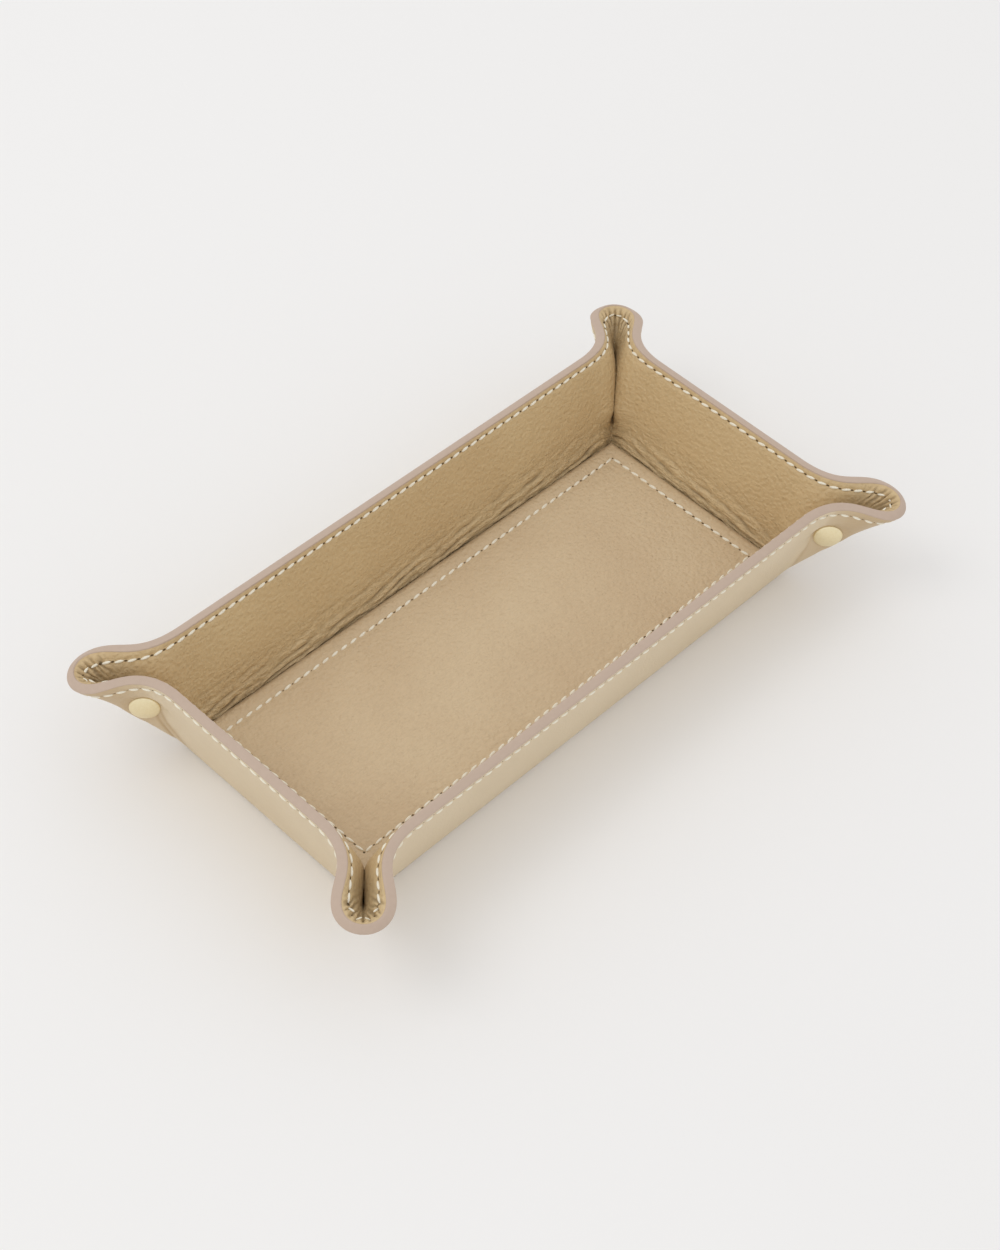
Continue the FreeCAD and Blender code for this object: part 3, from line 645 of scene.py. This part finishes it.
def wrinkles(seed, along, climb):
    """Rounded ridges along the fold, by the distance along the wall and the climb from the valley."""
    drift = 1.6 * noise.noise((along / 26, climb / 9, seed))
    drift += 0.9 * noise.noise((along / 9, climb / 4, seed + 3))
    ridge = abs(math.sin(math.pi * (climb - 0.1 * along + drift) / RIDGE_GAP)) - 0.64
    lump = min(3 * abs(noise.noise((along / 7, climb / 2.1, seed + 7))), 1) - 0.6
    strength = max(0.65 + 1.2 * noise.noise((along / 13, climb / 5, seed + 5)), 0.1)
    depth = smooth((climb - 0.4) / 1.4) * (1 - smooth((climb - 3) / 14))
    return depth * (RIDGE_HEIGHT * strength * ridge + LUMP_HEIGHT * lump)


def edge_bevel(to_rim):
    """The cut edges are skived before they are painted, so the rim is thinner than the wall."""
    return -SKIVE * (1 - smooth(to_rim / SKIVE_RUN))


def squeeze(climb):
    """How hard the leather is squeezed: most by the fold, a little up to the rim."""
    return 0.2 + 0.8 * smooth((climb - 0.5) / 2) * (1 - smooth((climb - 4) / 16))


def gather(share, to_rim, seed):
    """Pleats round the tip, which run together towards the pinch."""
    drift = 0.5 * noise.noise((14 * share, 0.3 * to_rim, seed)) * smooth(8 * (1 - share))
    spot = GATHERS * (1 - share) + drift + 0.5
    away = spot - math.floor(spot) - 0.5
    fade = smooth((share - 0.6) / 0.15) * smooth((to_rim - 0.4) / 1.5) * (1 - smooth((to_rim - 4) / 8))
    return fade * (PLEAT_RISE - PLEAT_DEPTH * math.exp(-(away / PLEAT_WIDTH) ** 2))


def climb_of(height):
    """The climb from the valley, in millimetres, at a share of the wall's height."""
    if height < TUCK:
        return TUCK_CLIMB * height / TUCK
    return TUCK_CLIMB + WALL_CLIMB * (height - TUCK) / (1 - TUCK)


print(f"the lining climbs {TUCK_CLIMB + WALL_CLIMB:.1f} mm from the valley to the rim")

# %% [markdown]
# ## Round the snaps
# A snap clamps the leathers between its caps, so they lie level round it, inside and outside. How far aside
# the caps sit is read from the frame.

# %% Round the snaps
CAP_RADIUS = 5.0
CAP_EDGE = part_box("snap_cap_back_right")[1].x / MM - HALF_LONG
CAP_SEAT = SNAP_REACH + CAP_RADIUS - CAP_EDGE / ROOT_HALF
LINING_LEVEL, LINING_GRIP = 0.34, (4.1, 5.4)
OUTER_LEVEL, OUTER_GRIP = CAP_SEAT + 0.1, (4.8, 9.0)


def press_flat(spot, level, grip, share):
    """Draws the leather level round a snap, by the distance from the snap's axis, but not at the keel."""
    p, q = from_diagonal(spot)
    near, far = grip
    firm = 1 - smooth((math.hypot(p - SNAP_REACH, spot.z - SNAP_Z) - near) / (far - near))
    return diagonal(p, q + firm * smooth(5 * (1 - share)) * (level - q), spot.z)


print(f"caps sit {CAP_SEAT:.2f} mm aside from the corner's diagonal")

# %% [markdown]
# ## Wall linings
# Each wall's lining carries the two feet of its ears, because those low corners fold with the wall and
# hardly turn with the ear. The piece bends from the base to the wall across the tuck.

# %% Wall linings
ROWS = 84
TUCK_ROWS = round(ROWS * TUCK)
EAR_COLUMNS = 72
COLUMN = 1.0
# Painted shade on the lining: darkest in the valley at the wall's foot, and in an ear's hollow mouth and
# slit.
DARKEST, HOLLOW_DARK, CLEFT_DARK = 0.9, 0.3, 0.6
FOLD_REACH = Vector((1.5, 5.2))


def lining_point(wall, end, surface, share, height, along, seed, tip, calm=1):
    """A point of the lining with its relief, its painted shade, and its grain. Calm leather has no wrinkles.
    """
    spot = surface(share, height)
    to_rim, climb = (surface(share, 1) - spot).length, climb_of(height)
    relief = calm * wrinkles(seed, along, climb)
    # The valley and the wrinkle grooves are painted darker, as their shade.
    dark = max(-1.2 * relief, DARKEST * (1 - smooth(climb / 2.5)), 0)
    if tip:
        pleat = gather(share, to_rim, seed)
        # The pleat grooves, the ear's hollow and its slit are painted darker, as their shade.
        hollow = HOLLOW_DARK * smooth((share - 0.3) / 0.35) * smooth((to_rim - 1.5) / 6)
        cleft = CLEFT_DARK * smooth((share - 0.9) / 0.08) * smooth((to_rim - 3) / 5)
        relief, dark = relief + pleat, max(dark, hollow - pleat, cleft)
        spot = press_flat(spot, LINING_LEVEL, LINING_GRIP, share)
    dark = min(dark, DARKEST)
    relief += seam_channel(to_rim - seam_inset(share, tip)) + edge_bevel(to_rim)
    point = place(wall, end, spot - relief * outward(surface, share, height))
    return point, dark, (along + 50 * seed, climb, squeeze(climb))


def wall_lining(wall, seed):
    """The lining of a wall with the feet of its two ears."""
    half, surface = half_length(wall), wall_form(wall, True)

    def main(u, v):
        return lining_point(wall, 1, surface, u, v, surface(u, v).x + half, seed, False)

    bm = bmesh.new()
    add_skin(bm, round(2 * half / COLUMN), ROWS, main, mirrored(wall, 1))
    for end, corner in ends(wall):
        def foot(u, v, end=end, ear=ear_form(wall, corner, True)):
            along = end * (half + ear(u, v * TUCK).x)
            return lining_point(wall, end, ear, u, v * TUCK, along, seed, False, smooth(7 * (1 - u)))

        add_skin(bm, EAR_COLUMNS, TUCK_ROWS, foot, mirrored(wall, end))
    thicken(bm, SKIN)
    piece = new_piece(bm, f"{wall}_wall_lining", WALL_LINING)
    fold_in = place(wall, 1, (-half, *VALLEY))
    fold_out = place(wall, 1, (-half, *(VALLEY + FOLD_REACH)))
    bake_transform(piece, "base", f"{wall}_wall", fold_in, fold_out)
    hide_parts(f"{wall}_lining")
    return piece


for seed, wall in enumerate(WALLS):
    print(wall_lining(wall, 10 * seed).name)

# %% [markdown]
# ## Ear linings
# The inside of an ear is seen from above as a keyhole: a tight slit at the snap that opens into a round
# mouth at the tip. Each half bends from its wall to its own body across the crease.

# %% Ear linings
CREASE_SPREAD = 4.0


def bend_with_ear(piece, wall, end, corner):
    """Bends a piece from the wall to the half-ear, across the hinge line between them."""
    low, high = FOOT_Z, RIM_Z
    foot = Vector((crease_at(low), wall_offset(low), low))
    head = Vector((crease_at(high), wall_offset(high), high))
    middle = (foot + head) / 2
    hinge = (head - foot).normalized()
    ahead = Vector((1, 0, 0)) - hinge * hinge.x
    reach = CREASE_SPREAD * ahead.normalized()
    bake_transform(piece, f"{wall}_wall", f"ear_{wall}_{corner}",
             place(wall, end, middle - reach), place(wall, end, middle + reach))


def ear_lining(wall, end, corner, seed):
    """The lining of a half-ear, above its foot."""
    half, ear = half_length(wall), ear_form(wall, corner, True)

    def skin(u, v):
        height = TUCK + (1 - TUCK) * v
        along = end * (half + ear(u, height).x)
        return lining_point(wall, end, ear, u, height, along, seed, True, smooth(7 * (1 - u)))

    bm = bmesh.new()
    add_skin(bm, EAR_COLUMNS, ROWS - TUCK_ROWS, skin, mirrored(wall, end))
    thicken(bm, SKIN)
    piece = new_piece(bm, f"ear_lining_{wall}_{corner}", WALL_LINING)
    bend_with_ear(piece, wall, end, corner)
    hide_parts(f"ear_{wall}_{corner}_lining")
    return piece


for seed, wall in enumerate(WALLS):
    for end, corner in ends(wall):
        print(ear_lining(wall, end, corner, 10 * seed).name)

# %% [markdown]
# ## Relief of the outer leather
# Round each cap the outside is pressed level and sinks in a ring. Where a snap pulls hard, fine creases run
# down from beside its cap to the fold, painted darker as the shade in them. Past that bend the ear turns
# down and away from the light, and is painted a darker, warmer tan as its shade.

# %% Relief of the outer leather
FAN = ((10.0, 0.42, 0.20, 25), (8.9, 0.36, 0.14, 22), (7.9, 0.43, 0.24, 24), (6.4, 0.38, 0.12, 17))
SINGLE = ((6.8, 0.28, 0.15, 33),)
CREASED = {("left", "back"): FAN, ("front", "right"): SINGLE,
           ("back", "left"): SINGLE, ("right", "front"): FAN}
CREASE_WIDTH = 0.6
DENT, DENT_SPREAD = 0.3, 0.9
# EAR_SHADE is painted shade on the ear past its bend, where it turns down and away from the light.
BEND_PLACE, BEND_LEAN, EAR_SHADE = 6.5, 0.3, 0.42
FAINT_WRINKLES = 0.06


def shell(surface, share, height):
    """The outer face that belongs to a spot of the inner surface."""
    return surface(share, height) + 2 * LEATHER * outward(surface, share, height)


def snap_creases(spot, lines):
    """Fine creases that run down from beside a cap to the fold: place, lean, depth and top of each."""
    p = from_diagonal(spot)[0]
    relief = 0
    for start, lean, depth, top in lines:
        line = start - lean * (SNAP_Z - spot.z) + 0.3 * noise.noise((spot.z / 6, start, depth))
        fade = smooth((top - spot.z) / 5) * smooth((spot.z - 2) / 3)
        relief -= depth * fade * math.exp(-((p - line) / CREASE_WIDTH) ** 2)
    return relief


def cap_dent(spot):
    """The leather sinks in a ring round a cap."""
    away = math.hypot(from_diagonal(spot)[0] - SNAP_REACH, spot.z - SNAP_Z) - CAP_RADIUS
    return -DENT * math.exp(-(away / DENT_SPREAD) ** 2)


def outer_point(wall, end, surface, share, height, lines):
    """A point of the outer leather. Lines are the creases of an ear, or None on a wall."""
    spot = shell(surface, share, height)
    to_rim = (shell(surface, share, 1) - spot).length
    inset = seam_inset(share, lines is not None)
    relief, dark = seam_channel(to_rim - inset) + edge_bevel(to_rim), 0.0
    if lines is not None:
        spot = press_flat(spot, OUTER_LEVEL, OUTER_GRIP, share)
        folds = snap_creases(spot, lines)
        # Past the bend the ear is painted darker and warmer as shade, and its creases are painted darker as
        # the shade in them.
        bend = BEND_PLACE - BEND_LEAN * (SNAP_Z - spot.z)
        past = from_diagonal(spot)[0] - bend
        shade = EAR_SHADE * (0.55 * smooth(past / 3 + 0.5) + 0.45 * smooth(past / 12))
        relief, dark = relief + folds + cap_dent(spot), shade - 1.3 * folds
    point = place(wall, end, spot + relief * outward(surface, share, height))
    return point, dark, (spot.x, to_rim, FAINT_WRINKLES)


print("creased half-ears:", ", ".join(f"{wall} {corner}" for wall, corner in CREASED))

# %% [markdown]
# ## Outer leather
# The outside is the same surface without the tuck, pushed out by the two leathers, and rolled under at the
# fold to lie flat beside the base. As in the lining, the foot of each ear belongs to its wall.

# %% Outer leather
OUTER_ROWS = 44
ROLL_ROWS = 8
FOOT = 0.17
FOOT_ROWS = 8
BASE_EDGE = -1.5
OUTER_FOLD_REACH, OUTER_FOLD_Z = 3.8, 3


def roll_point(wall, end, surface, share, under, bottom):
    """The leather rolled under the fold: under is 0 flat on the table and 1 at the wall's foot."""
    top = shell(surface, share, 0)
    down = (top - shell(surface, share, 0.03)).normalized()
    knee = top + down * (top.z / -down.z)
    return place(wall, end, bezier([Vector((bottom, BASE_EDGE, 0)), knee, top], under)), 0.0, STILL


def wall_outer(wall):
    """The outer leather of a wall with the feet of its two ears, rolled under the fold."""
    half, surface = half_length(wall), wall_form(wall, False)
    bm = bmesh.new()
    columns = round(2 * half / COLUMN)
    flip = not mirrored(wall, 1)
    add_skin(bm, columns, OUTER_ROWS, lambda u, v: outer_point(wall, 1, surface, u, v, None), flip)
    add_skin(bm, columns, ROLL_ROWS,
             lambda u, v: roll_point(wall, 1, surface, u, v, surface(u, 0).x), flip)
    for end, corner in ends(wall):
        ear = ear_form(wall, corner, False)

        def foot(u, v, end=end, ear=ear, lines=CREASED.get((wall, corner), ())):
            return outer_point(wall, end, ear, u, v * FOOT, lines)

        def roll(u, v, end=end, ear=ear):
            edge = ear(0, 0).x
            return roll_point(wall, end, ear, u, v, edge + (BASE_EDGE - edge) * u)

        flip = not mirrored(wall, end)
        add_skin(bm, EAR_COLUMNS, FOOT_ROWS, foot, flip)
        add_skin(bm, EAR_COLUMNS, ROLL_ROWS, roll, flip)
    thicken(bm, SKIN)
    piece = new_piece(bm, f"{wall}_wall_outer", OUTER)
    fold_in = place(wall, 1, (-half, BASE_EDGE, 0))
    fold_out = place(wall, 1, (-half, BASE_EDGE + OUTER_FOLD_REACH, OUTER_FOLD_Z))
    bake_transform(piece, "base", f"{wall}_wall", fold_in, fold_out)
    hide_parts(f"{wall}_outer")
    return piece


def ear_outer(wall, end, corner):
    """The outer leather of a half-ear, above its foot."""
    lines, ear = CREASED.get((wall, corner), ()), ear_form(wall, corner, False)

    def skin(u, v):
        return outer_point(wall, end, ear, u, FOOT + (1 - FOOT) * v, lines)

    bm = bmesh.new()
    add_skin(bm, EAR_COLUMNS, OUTER_ROWS, skin, not mirrored(wall, end))
    thicken(bm, SKIN)
    piece = new_piece(bm, f"ear_outer_{wall}_{corner}", OUTER)
    bend_with_ear(piece, wall, end, corner)
    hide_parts(f"ear_{wall}_{corner}_outer")
    return piece


for wall in WALLS:
    print(wall_outer(wall).name)
    for end, corner in ends(wall):
        print(ear_outer(wall, end, corner).name)

# %% [markdown]
# ## Base leathers
# The floor's lining is drawn tight over the board, sewn down round it, and then dips into the valley where
# the walls fold up. Under the board the outer leather lies flat on the table, with a groove that keeps the
# lower thread off it. Both are grids that are finest near their edges, where the shape changes.

# %% Base leathers
BASE_COLUMNS, BASE_ROWS = 130, 64
CLOSER_AT_EDGE = 1.7
CUSHION = 3.4
SWELL, SWELL_RUN = 0.3, 2.5
UNEVEN, UNEVEN_RUN = 0.12, 22
# VALLEY_DARK paints the shade in the valley round the floor.
VALLEY_DARK, FLOOR_WRINKLES = 0.85, 0.22
LOWER_GROOVE = 0.85


def spread(share, half):
    """A place across the base, with more lines near its edges."""
    side = 2 * share - 1
    return math.copysign(half * (1 - (1 - abs(side)) ** CLOSER_AT_EDGE), side)


def seam_distance(x, y):
    """How far a point of the base is outside the base seam, negative inside it."""
    return max(abs(x) - BASE_SEAM.x, abs(y) - BASE_SEAM.y)


def base_lining():
    """The floor of the tray, down to the valley all round."""
    half_x, half_y = HALF_LONG + VALLEY.x, HALF_WIDE + VALLEY.x

    def skin(u, v):
        x, y = spread(u, half_x), spread(v, half_y)
        edge = max(min(half_x - abs(x), half_y - abs(y)), 0)
        dip = max(1 - edge / CUSHION, 0)
        z = BASE_TOP - (BASE_TOP - VALLEY.y) * (1 - math.sqrt(1 - dip * dip))
        away = seam_distance(x, y)
        lumps = UNEVEN * noise.noise((x / UNEVEN_RUN, y / UNEVEN_RUN, 3))
        z += seam_channel(away) + SWELL * smooth(away / SWELL_RUN) + lumps
        # The dip into the valley is painted darker, as the shade there.
        return Vector((x, y, z)) * MM, VALLEY_DARK * dip ** 2.2, (x, y, FLOOR_WRINKLES)

    bm = bmesh.new()
    add_skin(bm, BASE_COLUMNS, BASE_ROWS, skin, False)
    thicken(bm, SKIN)
    piece = new_piece(bm, "base_floor_lining", FLOOR_LINING)
    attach(piece, "base")
    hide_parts("base_lining")
    return piece


def base_outer():
    """The leather that rests on the table."""
    half_x, half_y = HALF_LONG + BASE_EDGE, HALF_WIDE + BASE_EDGE

    def skin(u, v):
        x, y = spread(u, half_x), spread(v, half_y)
        z = LOWER_GROOVE * math.exp(-(seam_distance(x, y) / SEAM_SPREAD) ** 2)
        return Vector((x, y, z)) * MM, 0.0, STILL

    bm = bmesh.new()
    add_skin(bm, BASE_COLUMNS, BASE_ROWS, skin, True)
    thicken(bm, SKIN)
    piece = new_piece(bm, "base_underside", OUTER)
    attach(piece, "base")
    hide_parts("base_outer")
    return piece


print(base_lining().name, base_outer().name)

# %% [markdown]
# ## Painted rim
# The two leathers are trimmed flush and their edge is sealed with thick paint that rounds it off. The bead
# is a tube with a squarish section, swept along the rim and closed at its ends.

# %% Painted rim
BEAD_HALF = LEATHER - 0.2
SQUARENESS = 3.2
ROUND = 16


def bead_point(wall, end, inner, outer, share, turn):
    """A point of the bead: turn goes once round its section."""
    inside, outside = inner(share, 1), shell(outer, share, 1)
    rise = (inside - inner(share, 0.97)).normalized()
    across = (outside - inside).normalized()
    c, s = math.cos(math.tau * turn), math.sin(math.tau * turn)
    wide = math.copysign(abs(c) ** (2 / SQUARENESS), c) * BEAD_HALF
    high = math.copysign(abs(s) ** (2 / SQUARENESS), s) * PAINT_HIGH
    return place(wall, end, (inside + outside) / 2 + wide * across + high * rise), 0.0, STILL


def rim_bead(name, wall, end, columns, inner, outer):
    """The painted edge between an inner and an outer surface."""
    bm = bmesh.new()
    add_skin(bm, columns, ROUND, lambda u, v: bead_point(wall, end, inner, outer, u, v), False)
    bmesh.ops.remove_doubles(bm, verts=bm.verts[:], dist=MERGE)
    bmesh.ops.holes_fill(bm, edges=[edge for edge in bm.edges if edge.is_boundary], sides=0)
    bmesh.ops.recalc_face_normals(bm, faces=bm.faces[:])
    piece = new_piece(bm, name, PAINT)
    return piece


for wall in WALLS:
    bead = rim_bead(f"{wall}_rim_paint", wall, 1, round(half_length(wall) / 2),
                    wall_form(wall, True), wall_form(wall, False))
    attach(bead, f"{wall}_wall")
    for end, corner in ends(wall):
        bead = rim_bead(f"ear_rim_paint_{wall}_{corner}", wall, end, EAR_COLUMNS,
                        ear_form(wall, corner, True), ear_form(wall, corner, False))
        bend_with_ear(bead, wall, end, corner)
print("rim painted on", len(WALLS), "walls and their ears")

# %% [markdown]
# ## Stitches
# Thick thread is sewn by a machine at a steady pitch. Each stitch lies a little askew between two needle
# holes, and sinks in at both ends. A stitch is one small sphere stretched along the seam, and a hole a
# smaller dark one that paints the shade in it, so a seam of a hundred stitches stays light. Fitting a whole
# number of stitches to each run keeps the pitch even from piece to piece.

# %% Stitches
PITCH_MM = 4.2
STITCH = Vector((3.2, 1.0, 0.95))
ASKEW = math.radians(9)
LIFT = 0.18 * MM
HOLE_INSIDE, HOLE_OUTSIDE = Vector((1.3, 0.85, 0.35)), Vector((0.9, 0.55, 0.25))


def bead_matrix(centre, tangent, normal, size, turn):
    """Places a unit sphere with its poles along a stitch."""
    side = normal.cross(tangent).normalized()
    along = math.cos(turn) * tangent + math.sin(turn) * side
    side = normal.cross(along)
    axes = Matrix((size.y / 2 * MM * side, size.z / 2 * MM * normal, size.x / 2 * MM * along)).transposed()
    if axes.determinant() < 0:
        axes = Matrix((-axes.col[0], axes.col[1], axes.col[2])).transposed()
    return Matrix.Translation(centre) @ axes.to_4x4()


def sew(bm, path, turn, hole):
    """Sews along a path of (point, normal) pairs, with stitches in slot 0 and holes in slot 1."""
    lengths = [0.0]
    for (a, _), (b, _) in zip(path, path[1:]):
        lengths.append(lengths[-1] + (b - a).length)
    count = max(round(lengths[-1] / (PITCH_MM * MM)), 1)

    def at(distance):
        i = min(max(bisect.bisect_right(lengths, distance) - 1, 0), len(path) - 2)
        share = (distance - lengths[i]) / (lengths[i + 1] - lengths[i])
        (a, n), (b, m) = path[i], path[i + 1]
        return a.lerp(b, share), (b - a).normalized(), n.lerp(m, share).normalized()

    pitch = lengths[-1] / count
    for i in range(count):
        centre, tangent, normal = at((i + 0.5) * pitch)
        lying = bead_matrix(centre + LIFT * normal, tangent, normal, STITCH, turn)
        made = bmesh.ops.create_uvsphere(bm, u_segments=8, v_segments=6, radius=1, matrix=lying)
        for face in {face for vert in made["verts"] for face in vert.link_faces}:
            face.material_index = 0
    for i in range(count + 1):
        centre, tangent, normal = at(i * pitch)
        lying = bead_matrix(centre, tangent, normal, hole, turn)
        made = bmesh.ops.create_icosphere(bm, subdivisions=1, radius=1, matrix=lying)
        for face in {face for vert in made["verts"] for face in vert.link_faces}:
            face.material_index = 1


print(f"a stitch is {STITCH.x:.1f} mm long, at a pitch of {PITCH_MM} mm")

# %% [markdown]
# ### Rim seams
# Each rim shows a row of stitches on the lining and one on the outer leather, further from the edge round
# the tip of an ear. Both follow the relief of the leather, so that they lie in its channel.

# %% Rim seams
SEAM_STEPS = 60


def rim_path(wall, end, surface, point, inside, tip):
    """The line of a rim seam below the rim, with its normals."""
    path = []
    for i in range(SEAM_STEPS + 1):
        share = i / SEAM_STEPS
        span = (surface(share, 1) - surface(share, 0.8)).length
        height = 1 - 0.2 * seam_inset(share, tip) / span
        here = point(share, height)
        normal = outward(surface, share, height) * (-1 if inside else 1)
        away = place(wall, end, surface(share, height) + normal) - place(wall, end, surface(share, height))
        path.append((here, away.normalized()))
    return path


def rim_seam(name, wall, end, inner, outer, tip):
    """The stitches under a rim, on the lining and on the outer leather."""
    half = half_length(wall)
    inside = rim_path(wall, end, inner, lambda s, h: lining_point(wall, end, inner, s, h, half, 0, tip)[0],
                      True, tip)
    outside = rim_path(wall, end, lambda s, h: shell(outer, s, h),
                       lambda s, h: outer_point(wall, end, outer, s, h, () if tip else None)[0],
                       False, tip)
    bm = bmesh.new()
    sew(bm, inside, ASKEW, HOLE_INSIDE)
    sew(bm, outside, -ASKEW, HOLE_OUTSIDE)
    piece = new_piece(bm, name, IVORY, HOLE)
    return piece


for wall in WALLS:
    seam = rim_seam(f"{wall}_rim_stitches", wall, 1, wall_form(wall, True), wall_form(wall, False), False)
    print(seam.name, len(seam.data.polygons), "faces")
    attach(seam, f"{wall}_wall")
    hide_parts(f"{wall}_seam")
    for end, corner in ends(wall):
        seam = rim_seam(f"ear_rim_stitches_{wall}_{corner}", wall, end,
                        ear_form(wall, corner, True), ear_form(wall, corner, False), True)
        bend_with_ear(seam, wall, end, corner)
        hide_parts(f"ear_{wall}_{corner}_seam")

# %% [markdown]
# ### Base seam
# The base seam goes once round the board, on the floor and again underneath, where its groove hides it.
# Each side is a straight run from corner to corner, so a path of two points is enough.

# %% Base stitches
LOWER_THREAD_Z = 0.68


def base_seam():
    """The stitches round the board, above and below."""
    bm = bmesh.new()
    corners = [Vector((x * BASE_SEAM.x, y * BASE_SEAM.y)) for x, y in ((-1, -1), (1, -1), (1, 1), (-1, 1))]
    for z, normal in ((BASE_TOP - SEAM_SINK, Vector((0, 0, 1))), (LOWER_THREAD_Z, Vector((0, 0, -1)))):
        for a, b in zip(corners, corners[1:] + corners[:1]):
            sew(bm, [(Vector((*a, z)) * MM, normal), (Vector((*b, z)) * MM, normal)], ASKEW, HOLE_INSIDE)
    piece = new_piece(bm, "base_stitches", IVORY, HOLE)
    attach(piece, "base")
    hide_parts("base_seam")
    return piece


print(base_seam().name, len(bpy.data.objects["base_stitches"].data.polygons), "faces")

# %% [markdown]
# ## Snap caps
# Each snap shows a thin domed cap on both sides of its ear, pressed into the leather. The cap is a turned
# shape, so half its profile is spun once round its axis.

# %% Snap caps
CAP_DOME = 1.25
CAP_SIDE = 0.35
CAP_SINK = 0.4
SPIN_STEPS = 56


def cap_profile():
    """Half the cap's outline: a low dome, a rounded edge and a straight side that goes into the leather."""
    dome = [(CAP_RADIUS * 0.93 * i / 8, CAP_SIDE + (CAP_DOME - CAP_SIDE) * (1 - (i / 8) ** 2.2))
            for i in range(9)]
    edge = [(CAP_RADIUS * 0.98, CAP_SIDE * 0.55), (CAP_RADIUS, 0.0)]
    return dome + edge + [(CAP_RADIUS, -CAP_SINK), (0.0, -CAP_SINK)]


def snap_cap(name, wall, end, corner, node):
    """A domed cap on the outside of a half-ear."""
    bm = bmesh.new()
    verts = [bm.verts.new((r * MM, 0, z * MM)) for r, z in cap_profile()]
    edges = [bm.edges.new(pair) for pair in zip(verts, verts[1:])]
    bmesh.ops.spin(bm, geom=verts + edges, cent=(0, 0, 0), axis=(0, 0, 1), angle=math.tau,
                   steps=SPIN_STEPS, use_merge=True)
    bmesh.ops.remove_doubles(bm, verts=bm.verts[:], dist=MERGE / 10)
    seat = place(wall, end, diagonal(SNAP_REACH, CAP_SEAT, SNAP_Z))
    ahead = (place(wall, end, diagonal(SNAP_REACH, CAP_SEAT + 1, SNAP_Z)) - seat).normalized()
    turn = ahead.to_track_quat("Z", "Y").to_matrix().to_4x4()
    bmesh.ops.transform(bm, matrix=Matrix.Translation(seat) @ turn, verts=bm.verts[:])
    bmesh.ops.recalc_face_normals(bm, faces=bm.faces[:])
    piece = new_piece(bm, name, BRASS)
    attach(piece, f"ear_{wall}_{corner}")
    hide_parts(node)
    return piece


for wall in WALLS:
    for end, corner in ends(wall):
        long_side = WALLS[wall][0] == "long"
        node = f"snap_cap_{wall}_{corner}" if long_side else f"snap_post_{corner}_{wall}"
        print(snap_cap(f"domed_cap_{wall}_{corner}", wall, end, corner, node).name)

# %% [markdown]
# ## Floor and light
# The tray was photographed on a white table under a large soft light from the left, with white walls all
# round. A wide floor, one big area lamp and an even world give the same soft shadow.

# %% Floor and light
FLOOR_HALF = 3.0
MOTTLE = 1000 / 3
KEY_PLACE = Vector((-1.0, 0.75, 1.7))
KEY_SIZE = 1.0
KEY_POWER = 5.5
WORLD_LEVEL = 0.93


def white_table():
    """Matt white laminate, a trace warm."""
    material, tree, shader, place = new_material("matt white laminate")
    mottle = add(tree, "ShaderNodeTexNoise", {"Vector": place, "Scale": grain_scale(MOTTLE)})
    tint = add(tree, "ShaderNodeMix", {"Factor": mottle.outputs["Fac"], 6: colour("#F0EEEA"),
                                       7: colour("#F2F0ED")}, data_type="RGBA")
    tree.links.new(tint.outputs[2], shader.inputs["Base Color"])
    shader.inputs["Roughness"].default_value = 0.8
    shader.inputs["Specular IOR Level"].default_value = 0.1
    return material


bm = bmesh.new()
bmesh.ops.create_grid(bm, x_segments=1, y_segments=1, size=FLOOR_HALF)
floor = new_piece(bm, "floor", white_table())
lamp = bpy.data.lights.new("soft key", "AREA")
lamp.size = KEY_SIZE
lamp.energy = KEY_POWER
key = bpy.data.objects.new("soft key", lamp)
key.matrix_world = Matrix.Translation(KEY_PLACE) @ KEY_PLACE.to_track_quat("Z", "Y").to_matrix().to_4x4()
scene.collection.objects.link(key)
world = bpy.data.worlds.new("white room")
world.use_nodes = True
world.node_tree.nodes["Background"].inputs["Color"].default_value = colour("#FBFCFF")
world.node_tree.nodes["Background"].inputs["Strength"].default_value = WORLD_LEVEL
scene.world = world
print(f"soft key {KEY_PLACE.length:.1f} m away, world at {WORLD_LEVEL}")
